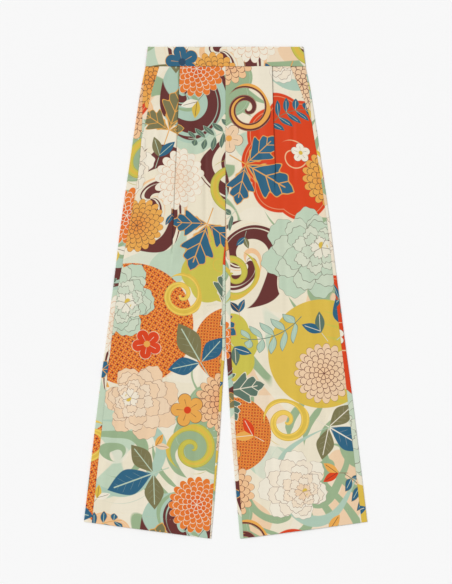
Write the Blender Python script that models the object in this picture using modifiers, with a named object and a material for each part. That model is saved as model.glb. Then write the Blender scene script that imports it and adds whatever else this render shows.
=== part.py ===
"""Palazzo trousers laid flat with the front up, as thin cloth walls.

Eight sewn pieces: two fronts, two backs, two pocket facings, and a front and a back
waistband. Each is a closed body that stands a seam's gap from its neighbours.

World frame, in metres: +Z up, z = 0 on the surface that the trousers lie on, +Y towards
the waist, +X towards the wearer's left leg. The sizes and tables below are millimetres.
A place on the garment is given by its drop (distance below the top edge) and its reach
(distance from the centre line, outwards); a leg's sign turns its reach into x.
"""
import math

import bpy
import numpy as np

MM = 0.001

# ---------------------------------------------------------------- driving sizes
WALL = 1.0             # cloth of the legs and pocket facings
BAND_WALL = 1.4        # waistband, folded and interfaced
SEAM_GAP = 0.3         # clear space between two sewn pieces
BAND_DEPTH = 43.8      # height of the waistband
CROTCH = 312.0         # drop of the point where the legs part
HEM = 1086.0           # mean drop of the hems
HEM_SLANT = 38.0       # how much lower a hem lies at its inner fold than at its side
TOP_HALF_WIDTH = 174.7 # half width of the waistband at its top edge
LIE = 2.6              # mid height of the upper layer where a leg is folded
POCKET_LAP = 10.0      # how far a pocket facing runs on under its front
POCKET_STEP = 1.35     # rise of the front where it lies over the facing
POCKET_SHORT = 8.0     # the facing stops this far above the end of the opening
POCKET_FADE = 20.0     # run below the opening over which the front settles down
FORK_RUN = 14.0        # run over which the seams leave the centre for the inner folds
FORK_EASE = 0.45       # extra room between the pieces that meet at the crotch
BEND_EASE = 0.12       # extra half gap where an inseam crosses the inner fold
BAND_RADIUS = 1.35     # bend radius of the waistband's side folds, at mid wall
PLEAT_BEND = 0.7       # bend radius of a pleat's folds, at mid wall
PLEAT_SETTLE = (4.0, 28.0)  # inside the underlay's turn, where the top layer sinks back
PLEAT_BELL = 18.0      # half width of the waistband's rise over a pleat
LAP_SETTLE = (3.0, 18.0)    # past the facing's edge, where the front sinks back
TORSO_PUFF = 1.2       # rise of the upper layer between its folds, hips
LEG_PUFF = 1.5         # the same, legs
LEGS_PART = (18.0, 105.0)  # run over which the hips' rise gives way to each leg's own

# Cross-sections: how many there are in each stretch, and where the stretches lie.
POCKET_ROWS = 6
HIP_ROWS = 3
FORK_ROWS = (0.0, 10.0, 30.0)
THIGH, THIGH_ROWS = (374.0, 520.0), 6
KNEE, SHIN_ROWS = 575.0, 9

SECTION_COLUMNS = ("drop", "side", "inner")
SECTIONS = (  # outline of a leg: reach of its side fold and of its inner fold
    (0.0, 173.0, 0.7),
    (44.0, 180.0, 0.7),
    (93.0, 190.0, 0.7),
    (160.0, 200.7, 0.7),
    (295.0, 220.4, 0.7),
    (408.0, 236.7, 0.7),
    (475.0, 244.6, 0.7),
    (600.0, 260.5, 0.8),
    (670.0, 269.5, 1.4),
    (745.0, 279.6, 6.0),
    (858.0, 293.6, 12.8),
    (1015.0, 312.3, 25.2),
    (1105.0, 323.2, 32.9),
)

WRAP_COLUMNS = ("drop", "side_wrap", "inner_wrap")
WRAPS = {  # how far the back piece comes round each fold on to the top
    "right": (
        (44.0, 2.0, 0.0),
        (115.0, 7.0, 0.0),
        (165.0, 14.0, 0.0),
        (232.0, 20.0, 0.0),
        (300.0, 22.5, 0.0),
        (415.0, 18.0, 0.0),
        (490.0, 14.0, 6.5),
        (570.0, 10.5, 7.0),
        (830.0, 14.5, 6.0),
        (1105.0, 18.0, 3.0),
    ),
    "left": (
        (44.0, 1.6, 0.0),
        (115.0, 4.0, 0.0),
        (170.0, 8.0, 0.0),
        (300.0, 6.0, 0.0),
        (415.0, 6.5, 3.0),
        (490.0, 7.0, 11.0),
        (670.0, 9.0, 11.5),
        (830.0, 11.0, 10.0),
        (1105.0, 12.5, 8.0),
    ),
}

PLEAT_COLUMNS = ("drop", "reach", "underlay", "turn")
PLEATS = {  # visible fold edge, cloth folded back under it, turn of the folds in degrees
    "right": (
        (44.0, 102.3, 22.0, 180.0),
        (140.0, 105.4, 20.0, 180.0),
        (300.0, 112.4, 13.0, 180.0),
        (420.0, 117.6, 1.2, 180.0),
        (455.0, 121.0, 0.8, 95.0),
        (500.0, 127.0, 0.8, 0.0),
        (1125.0, 160.0, 0.8, 0.0),
    ),
    "left": (
        (44.0, 104.1, 22.0, 180.0),
        (120.0, 105.9, 17.0, 180.0),
        (265.0, 110.8, 1.2, 180.0),
        (296.0, 112.6, 0.8, 95.0),
        (340.0, 116.0, 0.8, 0.0),
        (1125.0, 155.0, 0.8, 0.0),
    ),
}

POCKETS = {  # width of the facing that shows at the waist, drop where the opening ends
    "right": {"width": 29.0, "end": 214.0},
    "left": {"width": 33.0, "end": 170.0},
}

CREASE_COLUMNS = ("reach", "start", "end", "half_width", "rise")
CREASES = {  # soft lengthwise ridges of the upper layer
    "right": (
        (55.0, 150.0, 470.0, 13.0, 1.5),
        (205.0, 430.0, 800.0, 18.0, 0.8),
        (120.0, 620.0, 1010.0, 26.0, 0.9),
    ),
    "left": (
        (148.0, 120.0, 260.0, 13.0, 1.4),
        (62.0, 250.0, 520.0, 16.0, 0.9),
        (190.0, 560.0, 960.0, 28.0, 1.0),
    ),
}

SIGNS = {"right": -1.0, "left": 1.0}
CLOTH_COLOURS = {  # base colours, linear
    "front": (0.79, 0.66, 0.46, 1.0),
    "back": (0.72, 0.60, 0.42, 1.0),
    "pocket_facing": (0.36, 0.45, 0.31, 1.0),
    "waistband": (0.83, 0.63, 0.43, 1.0),
}

# ---------------------------------------------------------------- derived sizes
WAIST_SEAM = BAND_DEPTH + SEAM_GAP
FLOOR_MID = WALL / 2.0
FOLD_RADIUS = (LIE - FLOOR_MID) / 2.0
FOLD_ARC = math.pi * FOLD_RADIUS
HALF_GAP = SEAM_GAP / 2.0
LENGTH = HEM + HEM_SLANT / 2.0
BAND_FLOOR_MID = BAND_WALL / 2.0
BAND_LIE = BAND_FLOOR_MID + 2.0 * BAND_RADIUS
END_SPACING = 0.55     # spacing of the short columns that can follow an inner fold
END_STEP = 0.12        # short last column, which keeps a cut end square to its wall
BAND_END_STEP = 0.25   # the same for the thicker waistband
ARC_STEPS = 4          # straight steps in each fold of a pleat
TURN_STEPS = 5         # straight steps round a side or inner fold
OUTER_STEPS = 5        # columns of a front outside its pleat
INNER_STEPS = 9        # columns of a front inside its pleat
FLOOR_STEPS = 4        # columns of a back along the floor
FACING_STEPS = 4       # columns of a pocket facing
BAND_STEPS = 18        # columns of a waistband between its ends
BAND_ROWS = 4          # cross-sections of a waistband


def smooth(value, start, end):
    """0 before start, 1 after end, and a soft S between them."""
    share = np.clip((np.asarray(value, float) - start) / (end - start), 0.0, 1.0)
    return share * share * (3.0 - 2.0 * share)


def row_slopes(place, value):
    """Slopes at a table's rows that keep a cubic through them from overshooting."""
    rises = np.diff(value) / np.diff(place)
    before, after = rises[:-1], rises[1:]
    together = before * after > 0.0
    mean = 2.0 * before * after / np.where(together, before + after, 1.0)
    return np.concatenate([rises[:1], np.where(together, mean, 0.0), rises[-1:]])


def along(table, columns, name, drops):
    """One named column of a table, read at the drops by a cubic through its rows."""
    rows = np.asarray(table, float)
    place, value = rows[:, 0], rows[:, columns.index(name)]
    slope = row_slopes(place, value)
    drops = np.clip(np.asarray(drops, float), place[0], place[-1])
    low = np.clip(np.searchsorted(place, drops, side="right") - 1, 0, len(place) - 2)
    span = place[low + 1] - place[low]
    share = (drops - place[low]) / span
    low_weight = (1.0 + 2.0 * share) * (1.0 - share) ** 2
    high_weight = share ** 2 * (3.0 - 2.0 * share)
    low_pull = share * (1.0 - share) ** 2 * span
    high_pull = share ** 2 * (share - 1.0) * span
    return (low_weight * value[low] + high_weight * value[low + 1]
            + low_pull * slope[low] + high_pull * slope[low + 1])


def facing_drops(name):
    """Drops of the cross-sections that the pocket facing reaches."""
    return np.linspace(WAIST_SEAM, POCKETS[name]["end"] - POCKET_SHORT, POCKET_ROWS)


def leg_drops(name):
    """Drops of all cross-sections, closer at the crotch and where the pleats run out."""
    pocket_end = POCKETS[name]["end"]
    hips = np.linspace(pocket_end + POCKET_FADE, CROTCH - FORK_RUN, HIP_ROWS)
    fork = CROTCH + np.array(FORK_ROWS)
    thigh = np.linspace(*THIGH, THIGH_ROWS)
    shin = np.linspace(KNEE, HEM, SHIN_ROWS)
    return np.concatenate([facing_drops(name), [pocket_end], hips, fork, thigh, shin])


class Leg:
    """Sizes of one leg at each cross-section, as columns of values."""

    def __init__(self, name, drops):
        self.name = name
        self.drops = drops[:, None]
        slant = HEM_SLANT / 2.0 * smooth(self.drops, CROTCH, HEM)
        self.side_drop = self.drops - slant
        self.inner_drop = self.drops + slant
        self.side = along(SECTIONS, SECTION_COLUMNS, "side", self.side_drop) - WALL / 2.0
        self.inner = along(SECTIONS, SECTION_COLUMNS, "inner", self.inner_drop)
        self.side_wrap = self.column(WRAPS, WRAP_COLUMNS, "side_wrap")
        self.inner_wrap = self.column(WRAPS, WRAP_COLUMNS, "inner_wrap")
        self.outseam = self.side - self.side_wrap
        self.forked = self.drops >= CROTCH
        nearness = (self.drops - CROTCH + FORK_RUN / 2.0) / FORK_RUN
        self.ease = FORK_EASE * np.exp(-nearness ** 2)
        self.inner = self.inner + self.ease
        on_bend = np.exp(-((self.inner_wrap - FOLD_RADIUS) / (2.0 * FOLD_RADIUS)) ** 2)
        self.half_gap = HALF_GAP + self.ease / 2.0 + BEND_EASE * on_bend * self.forked

    def column(self, tables, columns, name):
        """A named column of this leg's table at every cross-section."""
        return along(tables[self.name], columns, name, self.drops)

    def opening(self):
        """How far the pocket opening lies inside the outseam, and its end."""
        pocket = POCKETS[self.name]
        share = (pocket["end"] - self.drops) / (pocket["end"] - WAIST_SEAM)
        return pocket["width"] * np.clip(share, 0.0, 1.0), pocket["end"]

    def lie(self, reach):
        """Mid height of the upper layer: the folded edge, the soft rise, the creases."""
        reach = np.asarray(reach, float)
        side_share = np.clip((self.side - reach) / self.side, 0.0, 1.0)
        hips = 1.0 - (1.0 - side_share) ** 2
        across = np.clip((reach - self.inner) / (self.side - self.inner), 0.0, 1.0)
        own = 4.0 * across * (1.0 - across)
        fork_start, fork_end = (CROTCH - LEGS_PART[1], CROTCH - LEGS_PART[0])
        own_weight = smooth(self.drops, fork_start, fork_end)
        height = LIE + (1.0 - own_weight) * TORSO_PUFF * hips + own_weight * LEG_PUFF * own
        for row in CREASES[self.name]:
            crease = dict(zip(CREASE_COLUMNS, row))
            fade = (crease["end"] - crease["start"]) / 3.0
            run = smooth(self.drops, crease["start"], crease["start"] + fade)
            run = run * (1.0 - smooth(self.drops, crease["end"] - fade, crease["end"]))
            bell = np.exp(-((reach - crease["reach"]) / crease["half_width"]) ** 2)
            height = height + crease["rise"] * run * bell
        return height

    def slanted_drop(self, reach):
        """Drop of a point of a cross-section, which slants like the hem below the fork."""
        share = np.clip((reach - self.inner) / (self.side - self.inner), 0.0, 1.0)
        return self.inner_drop + (self.side_drop - self.inner_drop) * share

    def points(self, reach, height):
        """World points, in metres, of a grid of reaches and heights."""
        x = SIGNS[self.name] * reach
        y = LENGTH / 2.0 - self.slanted_drop(reach)
        return np.stack([x, y + 0.0 * reach, height + 0.0 * reach], axis=-1) * MM


def inner_turn(leg, distance, rising):
    """Path round the inner fold, by distance past the place where it starts to turn.

    A front comes down from the upper layer (rising False), a back comes up from the
    floor (rising True). Before the fork the path runs on flat to the centre line.
    """
    start = leg.inner + FOLD_RADIUS
    angle = np.clip(distance / FOLD_RADIUS, 0.0, math.pi)
    past = np.maximum(distance - FOLD_ARC, 0.0)
    reach = start - np.minimum(distance, 0.0) - FOLD_RADIUS * np.sin(angle) + past
    bend = FOLD_RADIUS * (1.0 - np.cos(angle))
    height = FLOOR_MID + bend if rising else LIE - bend
    flat_reach = start - distance
    flat_height = FLOOR_MID if rising else leg.lie(flat_reach)
    return (np.where(leg.forked, reach, flat_reach),
            np.where(leg.forked, height, flat_height + 0.0 * flat_reach))


def pleat_path(leg, start):
    """The Z of a pleat, from the reach where the lower layer starts to turn back.

    Each fold keeps its length and opens out as its turn falls to nothing, so the pleat
    runs out into flat cloth. Gives steps inwards from the start, and steps upwards.
    """
    turn = np.radians(np.maximum(leg.column(PLEATS, PLEAT_COLUMNS, "turn"), 0.5))
    length = leg.column(PLEATS, PLEAT_COLUMNS, "underlay")
    radius = math.pi * PLEAT_BEND / turn
    angles = turn * np.linspace(0.0, 1.0, ARC_STEPS + 1)
    first_in, first_up = radius * np.sin(angles), radius * (1.0 - np.cos(angles))
    back_in = first_in[:, -1:] + length * np.cos(turn)
    back_up = first_up[:, -1:] + length * np.sin(turn)
    second_in = back_in + radius * (np.sin(turn) - np.sin(turn - angles))
    second_up = back_up + radius * (np.cos(turn - angles) - np.cos(turn))
    return (np.hstack([first_in, second_in]), np.hstack([first_up, second_up]))


def front_leg(leg):
    """Front piece: opening or outseam, pleat, then the centre seam or the inseam."""
    opening, opening_end = leg.opening()
    edge = leg.outseam - opening - HALF_GAP
    underlay = leg.column(PLEATS, PLEAT_COLUMNS, "underlay")
    visible = leg.column(PLEATS, PLEAT_COLUMNS, "reach")
    start = visible - underlay - PLEAT_BEND
    outer = edge + (start - edge) * np.linspace(0.0, 1.0, OUTER_STEPS + 1)[:-1]
    sink_start, sink_end = LAP_SETTLE
    over_facing = 1.0 - smooth(edge - outer, POCKET_LAP + sink_start, POCKET_LAP + sink_end)
    fade = smooth(leg.drops, opening_end, opening_end + POCKET_FADE)
    over_facing = over_facing * (1.0 - fade)
    outer_height = leg.lie(outer) + POCKET_STEP * over_facing

    steps_in, steps_up = pleat_path(leg, start)
    fold = start - steps_in
    fold_base = leg.lie(start)
    fold_height = fold_base + steps_up

    centre = leg.inner + FOLD_RADIUS - leg.ease
    end = np.where(leg.forked, FOLD_ARC / 2.0 - leg.inner_wrap, centre)
    end = end - leg.half_gap
    last = end - np.array([2.0 * END_SPACING, END_SPACING, END_STEP, 0.0])
    last_reach, last_height = inner_turn(leg, last, rising=False)
    last_height = np.where(last < 0.0, leg.lie(last_reach), last_height)

    first = fold[:, -1:]
    inner = first + (last_reach[:, :1] - first) * np.linspace(0.0, 1.0, INNER_STEPS + 1)[1:-1]
    settle = 1.0 - smooth(start - inner, *PLEAT_SETTLE)
    inner_height = leg.lie(inner) + steps_up[:, -1:] * settle
    reach = np.hstack([outer, fold, inner, last_reach])
    height = np.hstack([outer_height, fold_height, inner_height, last_height])
    return leg.points(reach, height)


def back_leg(leg):
    """Back piece: from its inner seam along the floor, round the side, to the outseam."""
    centre = leg.inner + FOLD_RADIUS - leg.ease
    end = np.where(leg.forked, FOLD_ARC / 2.0 + leg.inner_wrap, centre)
    end = end - leg.half_gap
    strip = np.maximum(end - FOLD_ARC, END_SPACING)
    turn = np.linspace(0.0, 1.0, TURN_STEPS + 1) * (FOLD_ARC + END_SPACING)
    behind = np.hstack([0.0 * strip, END_STEP + 0.0 * strip, strip + turn])
    tail_reach, tail_height = inner_turn(leg, end - behind, rising=True)
    on_top = leg.forked & (end - behind > FOLD_ARC)
    tail_height = np.where(on_top, leg.lie(tail_reach), tail_height)

    side_start = leg.side - FOLD_RADIUS
    first = tail_reach[:, -1:]
    floor = first + (side_start - first) * np.linspace(0.0, 1.0, FLOOR_STEPS + 1)[1:-1]
    angles = np.linspace(0.0, math.pi, TURN_STEPS + 1)
    fold = side_start + FOLD_RADIUS * np.sin(angles)
    fold_height = FLOOR_MID + FOLD_RADIUS * (1.0 - np.cos(angles))
    seam = np.minimum(leg.outseam + HALF_GAP, side_start - END_SPACING)
    strip_reach = side_start + (seam - side_start) * np.array([0.5, 1.0])
    reach = np.hstack([tail_reach, floor, fold, strip_reach])
    height = np.hstack([tail_height, FLOOR_MID + 0.0 * floor,
                        fold_height + 0.0 * fold, leg.lie(strip_reach)])
    return leg.points(reach, height)


def pocket_facing(name):
    """Piece behind the slanted opening: outseam to a lap under the front."""
    leg = Leg(name, facing_drops(name))
    opening, _ = leg.opening()
    seam = np.minimum(leg.outseam, leg.side - FOLD_RADIUS - END_SPACING) - HALF_GAP
    edge = leg.outseam - opening - POCKET_LAP
    reach = seam + (edge - seam) * np.linspace(0.0, 1.0, FACING_STEPS + 1)
    return leg.points(reach, leg.lie(reach))


def band_reach(drops, sign):
    """Reach of the waistband's side folds at mid wall: narrower at the top edge."""
    seam_width = along(SECTIONS, SECTION_COLUMNS, "side", WAIST_SEAM)
    share = drops / BAND_DEPTH
    return sign * (TOP_HALF_WIDTH + (seam_width - TOP_HALF_WIDTH) * share - BAND_WALL / 2.0)


def waistband(front):
    """Half of the band: flat across, its ends turned half way round the side folds."""
    drops = np.linspace(0.0, BAND_DEPTH, BAND_ROWS)[:, None]
    radius = BAND_RADIUS
    angles = np.linspace(math.pi / 2.0, 0.0, 4)
    bent = (radius - HALF_GAP - BAND_END_STEP) * (1.0 - np.cos(angles))
    turn_reach = np.append(radius, radius * np.sin(angles))
    turn_drop = np.append(radius - HALF_GAP, bent)
    left, right = band_reach(drops, -1.0) + radius, band_reach(drops, 1.0) - radius
    middle = left + (right - left) * np.linspace(0.0, 1.0, BAND_STEPS + 1)[1:-1]
    x = np.hstack([left - turn_reach, middle, right + turn_reach[::-1]])
    bend = np.hstack([turn_drop, np.zeros(middle.shape[1]), turn_drop[::-1]])
    if front:
        height = BAND_LIE - bend + front_band_rise(x, drops)
    else:
        height = BAND_FLOOR_MID + bend + 0.0 * x
    y = LENGTH / 2.0 - drops + 0.0 * x
    return np.stack([x, y, height], axis=-1) * MM


def front_band_rise(x, drops):
    """The band's soft rise between its ends, and over the pleats sewn into its edge."""
    half = band_reach(drops, 1.0)
    share = np.clip(1.0 - np.abs(x) / half, 0.0, 1.0)
    rise = TORSO_PUFF * (1.0 - (1.0 - share) ** 2)
    for name, sign in SIGNS.items():
        top = dict(zip(PLEAT_COLUMNS, PLEATS[name][0]))
        middle = sign * (top["reach"] - top["underlay"] / 2.0)
        bell = np.exp(-((x - middle) / PLEAT_BELL) ** 2)
        rise = rise + 2.0 * PLEAT_BEND * bell * smooth(drops, 0.0, BAND_DEPTH)
    return rise


def cloth_material(name, colour):
    """Smooth woven cloth with a low sheen."""
    material = bpy.data.materials.new(name)
    material.use_nodes = True
    shader = material.node_tree.nodes["Principled BSDF"]
    shader.inputs["Base Color"].default_value = colour
    shader.inputs["Roughness"].default_value = 0.6
    shader.inputs["Metallic"].default_value = 0.0
    return material


def cloth_wall(name, points, thickness, colour, collection):
    """A named object: the grid of points as a surface, given its wall by Solidify."""
    rows, columns = points.shape[:2]
    index = np.arange(rows * columns).reshape(rows, columns)
    corners = (index[:-1, :-1], index[:-1, 1:], index[1:, 1:], index[1:, :-1])
    faces = np.stack(corners, axis=-1).reshape(-1, 4)
    mesh = bpy.data.meshes.new(name)
    mesh.from_pydata(points.reshape(-1, 3).tolist(), [], faces.tolist())
    mesh.materials.append(cloth_material(name + "_cloth", colour))
    mesh.shade_smooth()
    mesh.set_sharp_from_angle(angle=math.radians(60.0))
    wall = bpy.data.objects.new(name, mesh)
    collection.objects.link(wall)
    solidify = wall.modifiers.new("wall", "SOLIDIFY")
    solidify.thickness = thickness * MM
    solidify.offset = 0.0
    solidify.use_even_offset = True
    return wall


def clear_scene():
    """Remove the objects of the scene this file is opened in."""
    for item in list(bpy.data.objects):
        bpy.data.objects.remove(item, do_unlink=True)


def build():
    """Make every piece of the trousers."""
    clear_scene()
    trousers = bpy.data.collections.new("palazzo_trousers")
    bpy.context.scene.collection.children.link(trousers)
    for name in SIGNS:
        leg = Leg(name, leg_drops(name))
        pieces = (("front", front_leg(leg)), ("back", back_leg(leg)),
                  ("pocket_facing", pocket_facing(name)))
        for piece, points in pieces:
            cloth_wall(name + "_" + piece, points, WALL, CLOTH_COLOURS[piece], trousers)
    for name, front in (("front_waistband", True), ("back_waistband", False)):
        cloth_wall(name, waistband(front), BAND_WALL, CLOTH_COLOURS["waistband"], trousers)


build()
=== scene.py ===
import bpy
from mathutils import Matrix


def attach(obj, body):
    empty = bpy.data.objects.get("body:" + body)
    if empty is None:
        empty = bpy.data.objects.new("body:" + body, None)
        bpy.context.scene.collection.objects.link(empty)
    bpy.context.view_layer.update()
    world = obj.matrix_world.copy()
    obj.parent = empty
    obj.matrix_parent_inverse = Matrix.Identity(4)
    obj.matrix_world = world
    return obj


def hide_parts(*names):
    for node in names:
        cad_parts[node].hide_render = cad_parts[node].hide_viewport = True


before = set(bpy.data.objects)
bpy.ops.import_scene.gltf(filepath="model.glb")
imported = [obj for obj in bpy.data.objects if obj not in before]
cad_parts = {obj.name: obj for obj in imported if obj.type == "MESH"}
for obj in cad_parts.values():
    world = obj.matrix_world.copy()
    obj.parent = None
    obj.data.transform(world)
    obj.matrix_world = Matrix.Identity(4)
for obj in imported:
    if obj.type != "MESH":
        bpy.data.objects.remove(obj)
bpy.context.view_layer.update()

"""Dress of a pair of palazzo trousers laid flat with the front up.

Every sewn piece is a thin cloth shell that stands in for the solid of the same name. The
shells carry a printed floral design, which each piece is cut from at a place of its own.

A place on the garment is given in millimetres by its drop, the distance below the top
edge, and its reach, the distance outwards from the centre line. The waist points along
+Y, the wearer's left leg lies towards +X, and the trousers rest on z = 0.
"""
import logging
import math
from dataclasses import dataclass, field
from enum import Enum, IntEnum
from functools import cached_property, partial
from typing import Callable, Sequence

import bpy
import numpy as np

log = logging.getLogger("palazzo_trousers")

MM = 0.001
ROOT = "root"
FLOOR = "studio_floor"

# ------------------------------------------------------------------ sizes of the garment
SHELL = 0.6             # cloth, face to back
BAND_LAYER = 0.5        # each of the two layers of the waistband
BAND_WALL = 1.4         # waistband, both layers and the air between them
BAND_DEPTH = 43.92      # height of the waistband
BAND_RADIUS = 1.35      # radius of the waistband's side folds, between its two layers
SEAM_GAP = 0.07         # clear line between two sewn pieces
WAIST_SEAM = 44.0       # drop of the seam between the waistband and the legs
CROTCH = 312.0          # drop of the point where the legs part
HEM = 1086.0            # mean drop of the hems
HEM_SLANT = 38.0        # how much lower a hem lies at its inner fold than at its side
HEM_ALLOWANCE = 30.0    # cloth turned up inside each hem
HEM_RADIUS = 0.42       # bend of the turned hem
LENGTH = HEM + HEM_SLANT / 2.0
FLOOR_MID = SHELL / 2.0     # mid height of cloth that lies on the floor
LIE = 2.8               # mid height of the upper layer where a leg is folded
FOLD_RADIUS = (LIE - FLOOR_MID) / 2.0       # of the folds at a leg's two sides
FOLD_ARC = math.pi * FOLD_RADIUS
HALF_GAP = SEAM_GAP / 2.0
PLEAT_BEND = 0.7        # radius of a pleat's folds
PLEAT_SETTLE = (4.0, 28.0)      # run inside a pleat over which the cloth settles down
LAP = 10.0              # how far a pocket facing runs on under its front
LAP_RISE = 0.95         # rise of the front where it lies over the facing
LAP_SETTLE = (3.0, 18.0)        # run inside the facing over which the front settles down
LAP_FADE = 20.0         # the same below the opening
FORK_RUN = 14.0         # run over which the seams leave the centre for the inner folds
FORK_EASE = 0.2         # extra room between the pieces that meet at the crotch
TORSO_PUFF = 1.2        # rise of the upper layer between its folds, hips
LEG_PUFF = 1.5          # the same, legs
LEGS_PART = (18.0, 105.0)       # run above the crotch over which one becomes the other
SEAM_ROLL = 0.30        # how deep a seamed edge rolls into its seam
ROLL_REACH = 1.5        # run over which it rolls
SEAM_PAINTED_SHADE = 0.16        # painted shade on a seamed edge, as ClothGrid has it
NOOK_PAINTED_SHADE = 2.0         # painted shade in a pleat's nook, under its fold
NOOK_REACH = 2.0        # run over which that painted shade fades on the open cloth
NOOK_TURNS = (40.0, 175.0)      # turns of a pleat, in degrees, over which its nook closes and its painted shade grows
STITCH_LINE = HEM - HEM_ALLOWANCE       # drop of the hem's stitches
STITCH_SINK = 0.16      # how deep they pull the cloth in
STITCH_RUN = 1.6        # run over which they do
BAND_SINK = 0.14        # how deep the waistband's seamed edge rolls in
BAND_FLARE = 1.7        # how much wider the waistband's top is than the garment's
BAND_BULGE = 18.0       # half width of the band's rise over a pleat sewn into it
GRAIN = 4.6             # spacing of the shell's grid
SEAM_STEPS = (0.0, 0.4, 0.9, 1.6, 2.7, 4.4)     # distances from a seam of the lines near it
HEM_STEPS = (0.0, 0.8, 2.0, 4.0)                # the same from a hem's edge
STITCH_STEPS = (-2.4, -0.9, 0.0, 0.9, 2.4)      # the same from the hem's stitches
FAR = 99.0              # distance from a seam at which nothing rolls


class Side(Enum):
    """A leg of the trousers, by the wearer's side, with the sign of its x."""

    RIGHT = -1.0
    LEFT = 1.0

    @property
    def word(self) -> str:
        """The side's name in lower case, as the solids' names have it."""
        return self.name.lower()


@dataclass(frozen=True)
class SizeTable:
    """Sizes down the garment, read between its rows by a cubic that never overshoots."""

    columns: tuple[str, ...]
    rows: tuple[tuple[float, ...], ...]

    def read(self, name: str, drops: np.ndarray) -> np.ndarray:
        """Read one column of the table.

        Args:
            name: the column.
            drops: the drops to read it at; past the ends the end rows hold.

        Returns:
            The values, in the shape of drops.
        """
        table = np.asarray(self.rows, float)
        place, value = table[:, 0], table[:, self.columns.index(name)]
        rises = np.diff(value) / np.diff(place)
        before, after = rises[:-1], rises[1:]
        together = before * after > 0.0
        mean = 2.0 * before * after / np.where(together, before + after, 1.0)
        slope = np.concatenate([rises[:1], np.where(together, mean, 0.0), rises[-1:]])
        drops = np.clip(np.asarray(drops, float), place[0], place[-1])
        low = np.clip(np.searchsorted(place, drops, side="right") - 1, 0, len(place) - 2)
        span = place[low + 1] - place[low]
        share = (drops - place[low]) / span
        return ((1.0 + 2.0 * share) * (1.0 - share) ** 2 * value[low]
                + share ** 2 * (3.0 - 2.0 * share) * value[low + 1]
                + share * (1.0 - share) ** 2 * span * slope[low]
                + share ** 2 * (share - 1.0) * span * slope[low + 1])


SECTIONS = SizeTable(("drop", "side", "inner"), (
    (0.0, 173.0, 0.4),
    (44.0, 180.0, 0.4),
    (93.0, 190.0, 0.4),
    (160.0, 200.7, 0.4),
    (295.0, 220.4, 0.4),
    (408.0, 236.7, 0.4),
    (475.0, 244.6, 0.4),
    (600.0, 260.5, 0.5),
    (670.0, 269.5, 1.2),
    (745.0, 279.6, 6.0),
    (858.0, 293.6, 12.8),
    (1015.0, 312.3, 25.2),
    (1105.0, 323.2, 32.9),
))

WRAPS = {  # how far the back piece comes round each fold on to the top
    Side.RIGHT: SizeTable(("drop", "side_wrap", "inner_wrap"), (
        (44.0, 2.0, 0.0),
        (115.0, 7.0, 0.0),
        (165.0, 14.0, 0.0),
        (232.0, 20.0, 0.0),
        (300.0, 22.5, 0.0),
        (415.0, 18.0, 0.0),
        (490.0, 14.0, 6.5),
        (570.0, 10.5, 7.0),
        (830.0, 14.5, 6.0),
        (1105.0, 18.0, 3.0),
    )),
    Side.LEFT: SizeTable(("drop", "side_wrap", "inner_wrap"), (
        (44.0, 1.6, 0.0),
        (115.0, 4.0, 0.0),
        (170.0, 8.0, 0.0),
        (300.0, 6.0, 0.0),
        (415.0, 6.5, 3.0),
        (490.0, 7.0, 11.0),
        (670.0, 9.0, 11.5),
        (830.0, 11.0, 10.0),
        (1105.0, 12.5, 8.0),
    )),
}

PLEATS = {  # visible fold edge, cloth folded back under it, turn of the folds in degrees
    Side.RIGHT: SizeTable(("drop", "reach", "underlay", "turn"), (
        (44.0, 102.3, 22.0, 180.0),
        (140.0, 105.4, 20.0, 180.0),
        (300.0, 112.4, 13.0, 180.0),
        (420.0, 117.6, 1.2, 180.0),
        (455.0, 121.0, 0.8, 95.0),
        (500.0, 127.0, 0.8, 0.0),
        (1125.0, 160.0, 0.8, 0.0),
    )),
    Side.LEFT: SizeTable(("drop", "reach", "underlay", "turn"), (
        (44.0, 104.1, 22.0, 180.0),
        (120.0, 105.9, 17.0, 180.0),
        (265.0, 110.8, 1.2, 180.0),
        (296.0, 112.6, 0.8, 95.0),
        (340.0, 116.0, 0.8, 0.0),
        (1125.0, 155.0, 0.8, 0.0),
    )),
}


@dataclass(frozen=True)
class Pocket:
    """A slanted hip pocket: width of facing at the waist, drop where its opening ends."""

    width: float
    end: float


POCKETS = {Side.RIGHT: Pocket(29.0, 214.0), Side.LEFT: Pocket(33.0, 170.0)}


@dataclass(frozen=True)
class Crease:
    """A soft ridge, or with a rise below zero a trough, that runs down the upper layer.

    It starts at one reach and ends at another, so that it can wander a little, and fades
    out over the first and last third of its run.
    """

    start_reach: float
    end_reach: float
    start: float
    end: float
    half_width: float
    rise: float

    def height(self, reach: np.ndarray, drops: np.ndarray) -> np.ndarray:
        """Height that the crease adds: a bell across its run, eased in and out along it."""
        fade = (self.end - self.start) / 3.0
        run = smooth(drops, self.start, self.start + fade)
        run = run * (1.0 - smooth(drops, self.end - fade, self.end))
        share = np.clip((drops - self.start) / (self.end - self.start), 0.0, 1.0)
        middle = self.start_reach + (self.end_reach - self.start_reach) * share
        return self.rise * run * np.exp(-((reach - middle) / self.half_width) ** 2)


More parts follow.
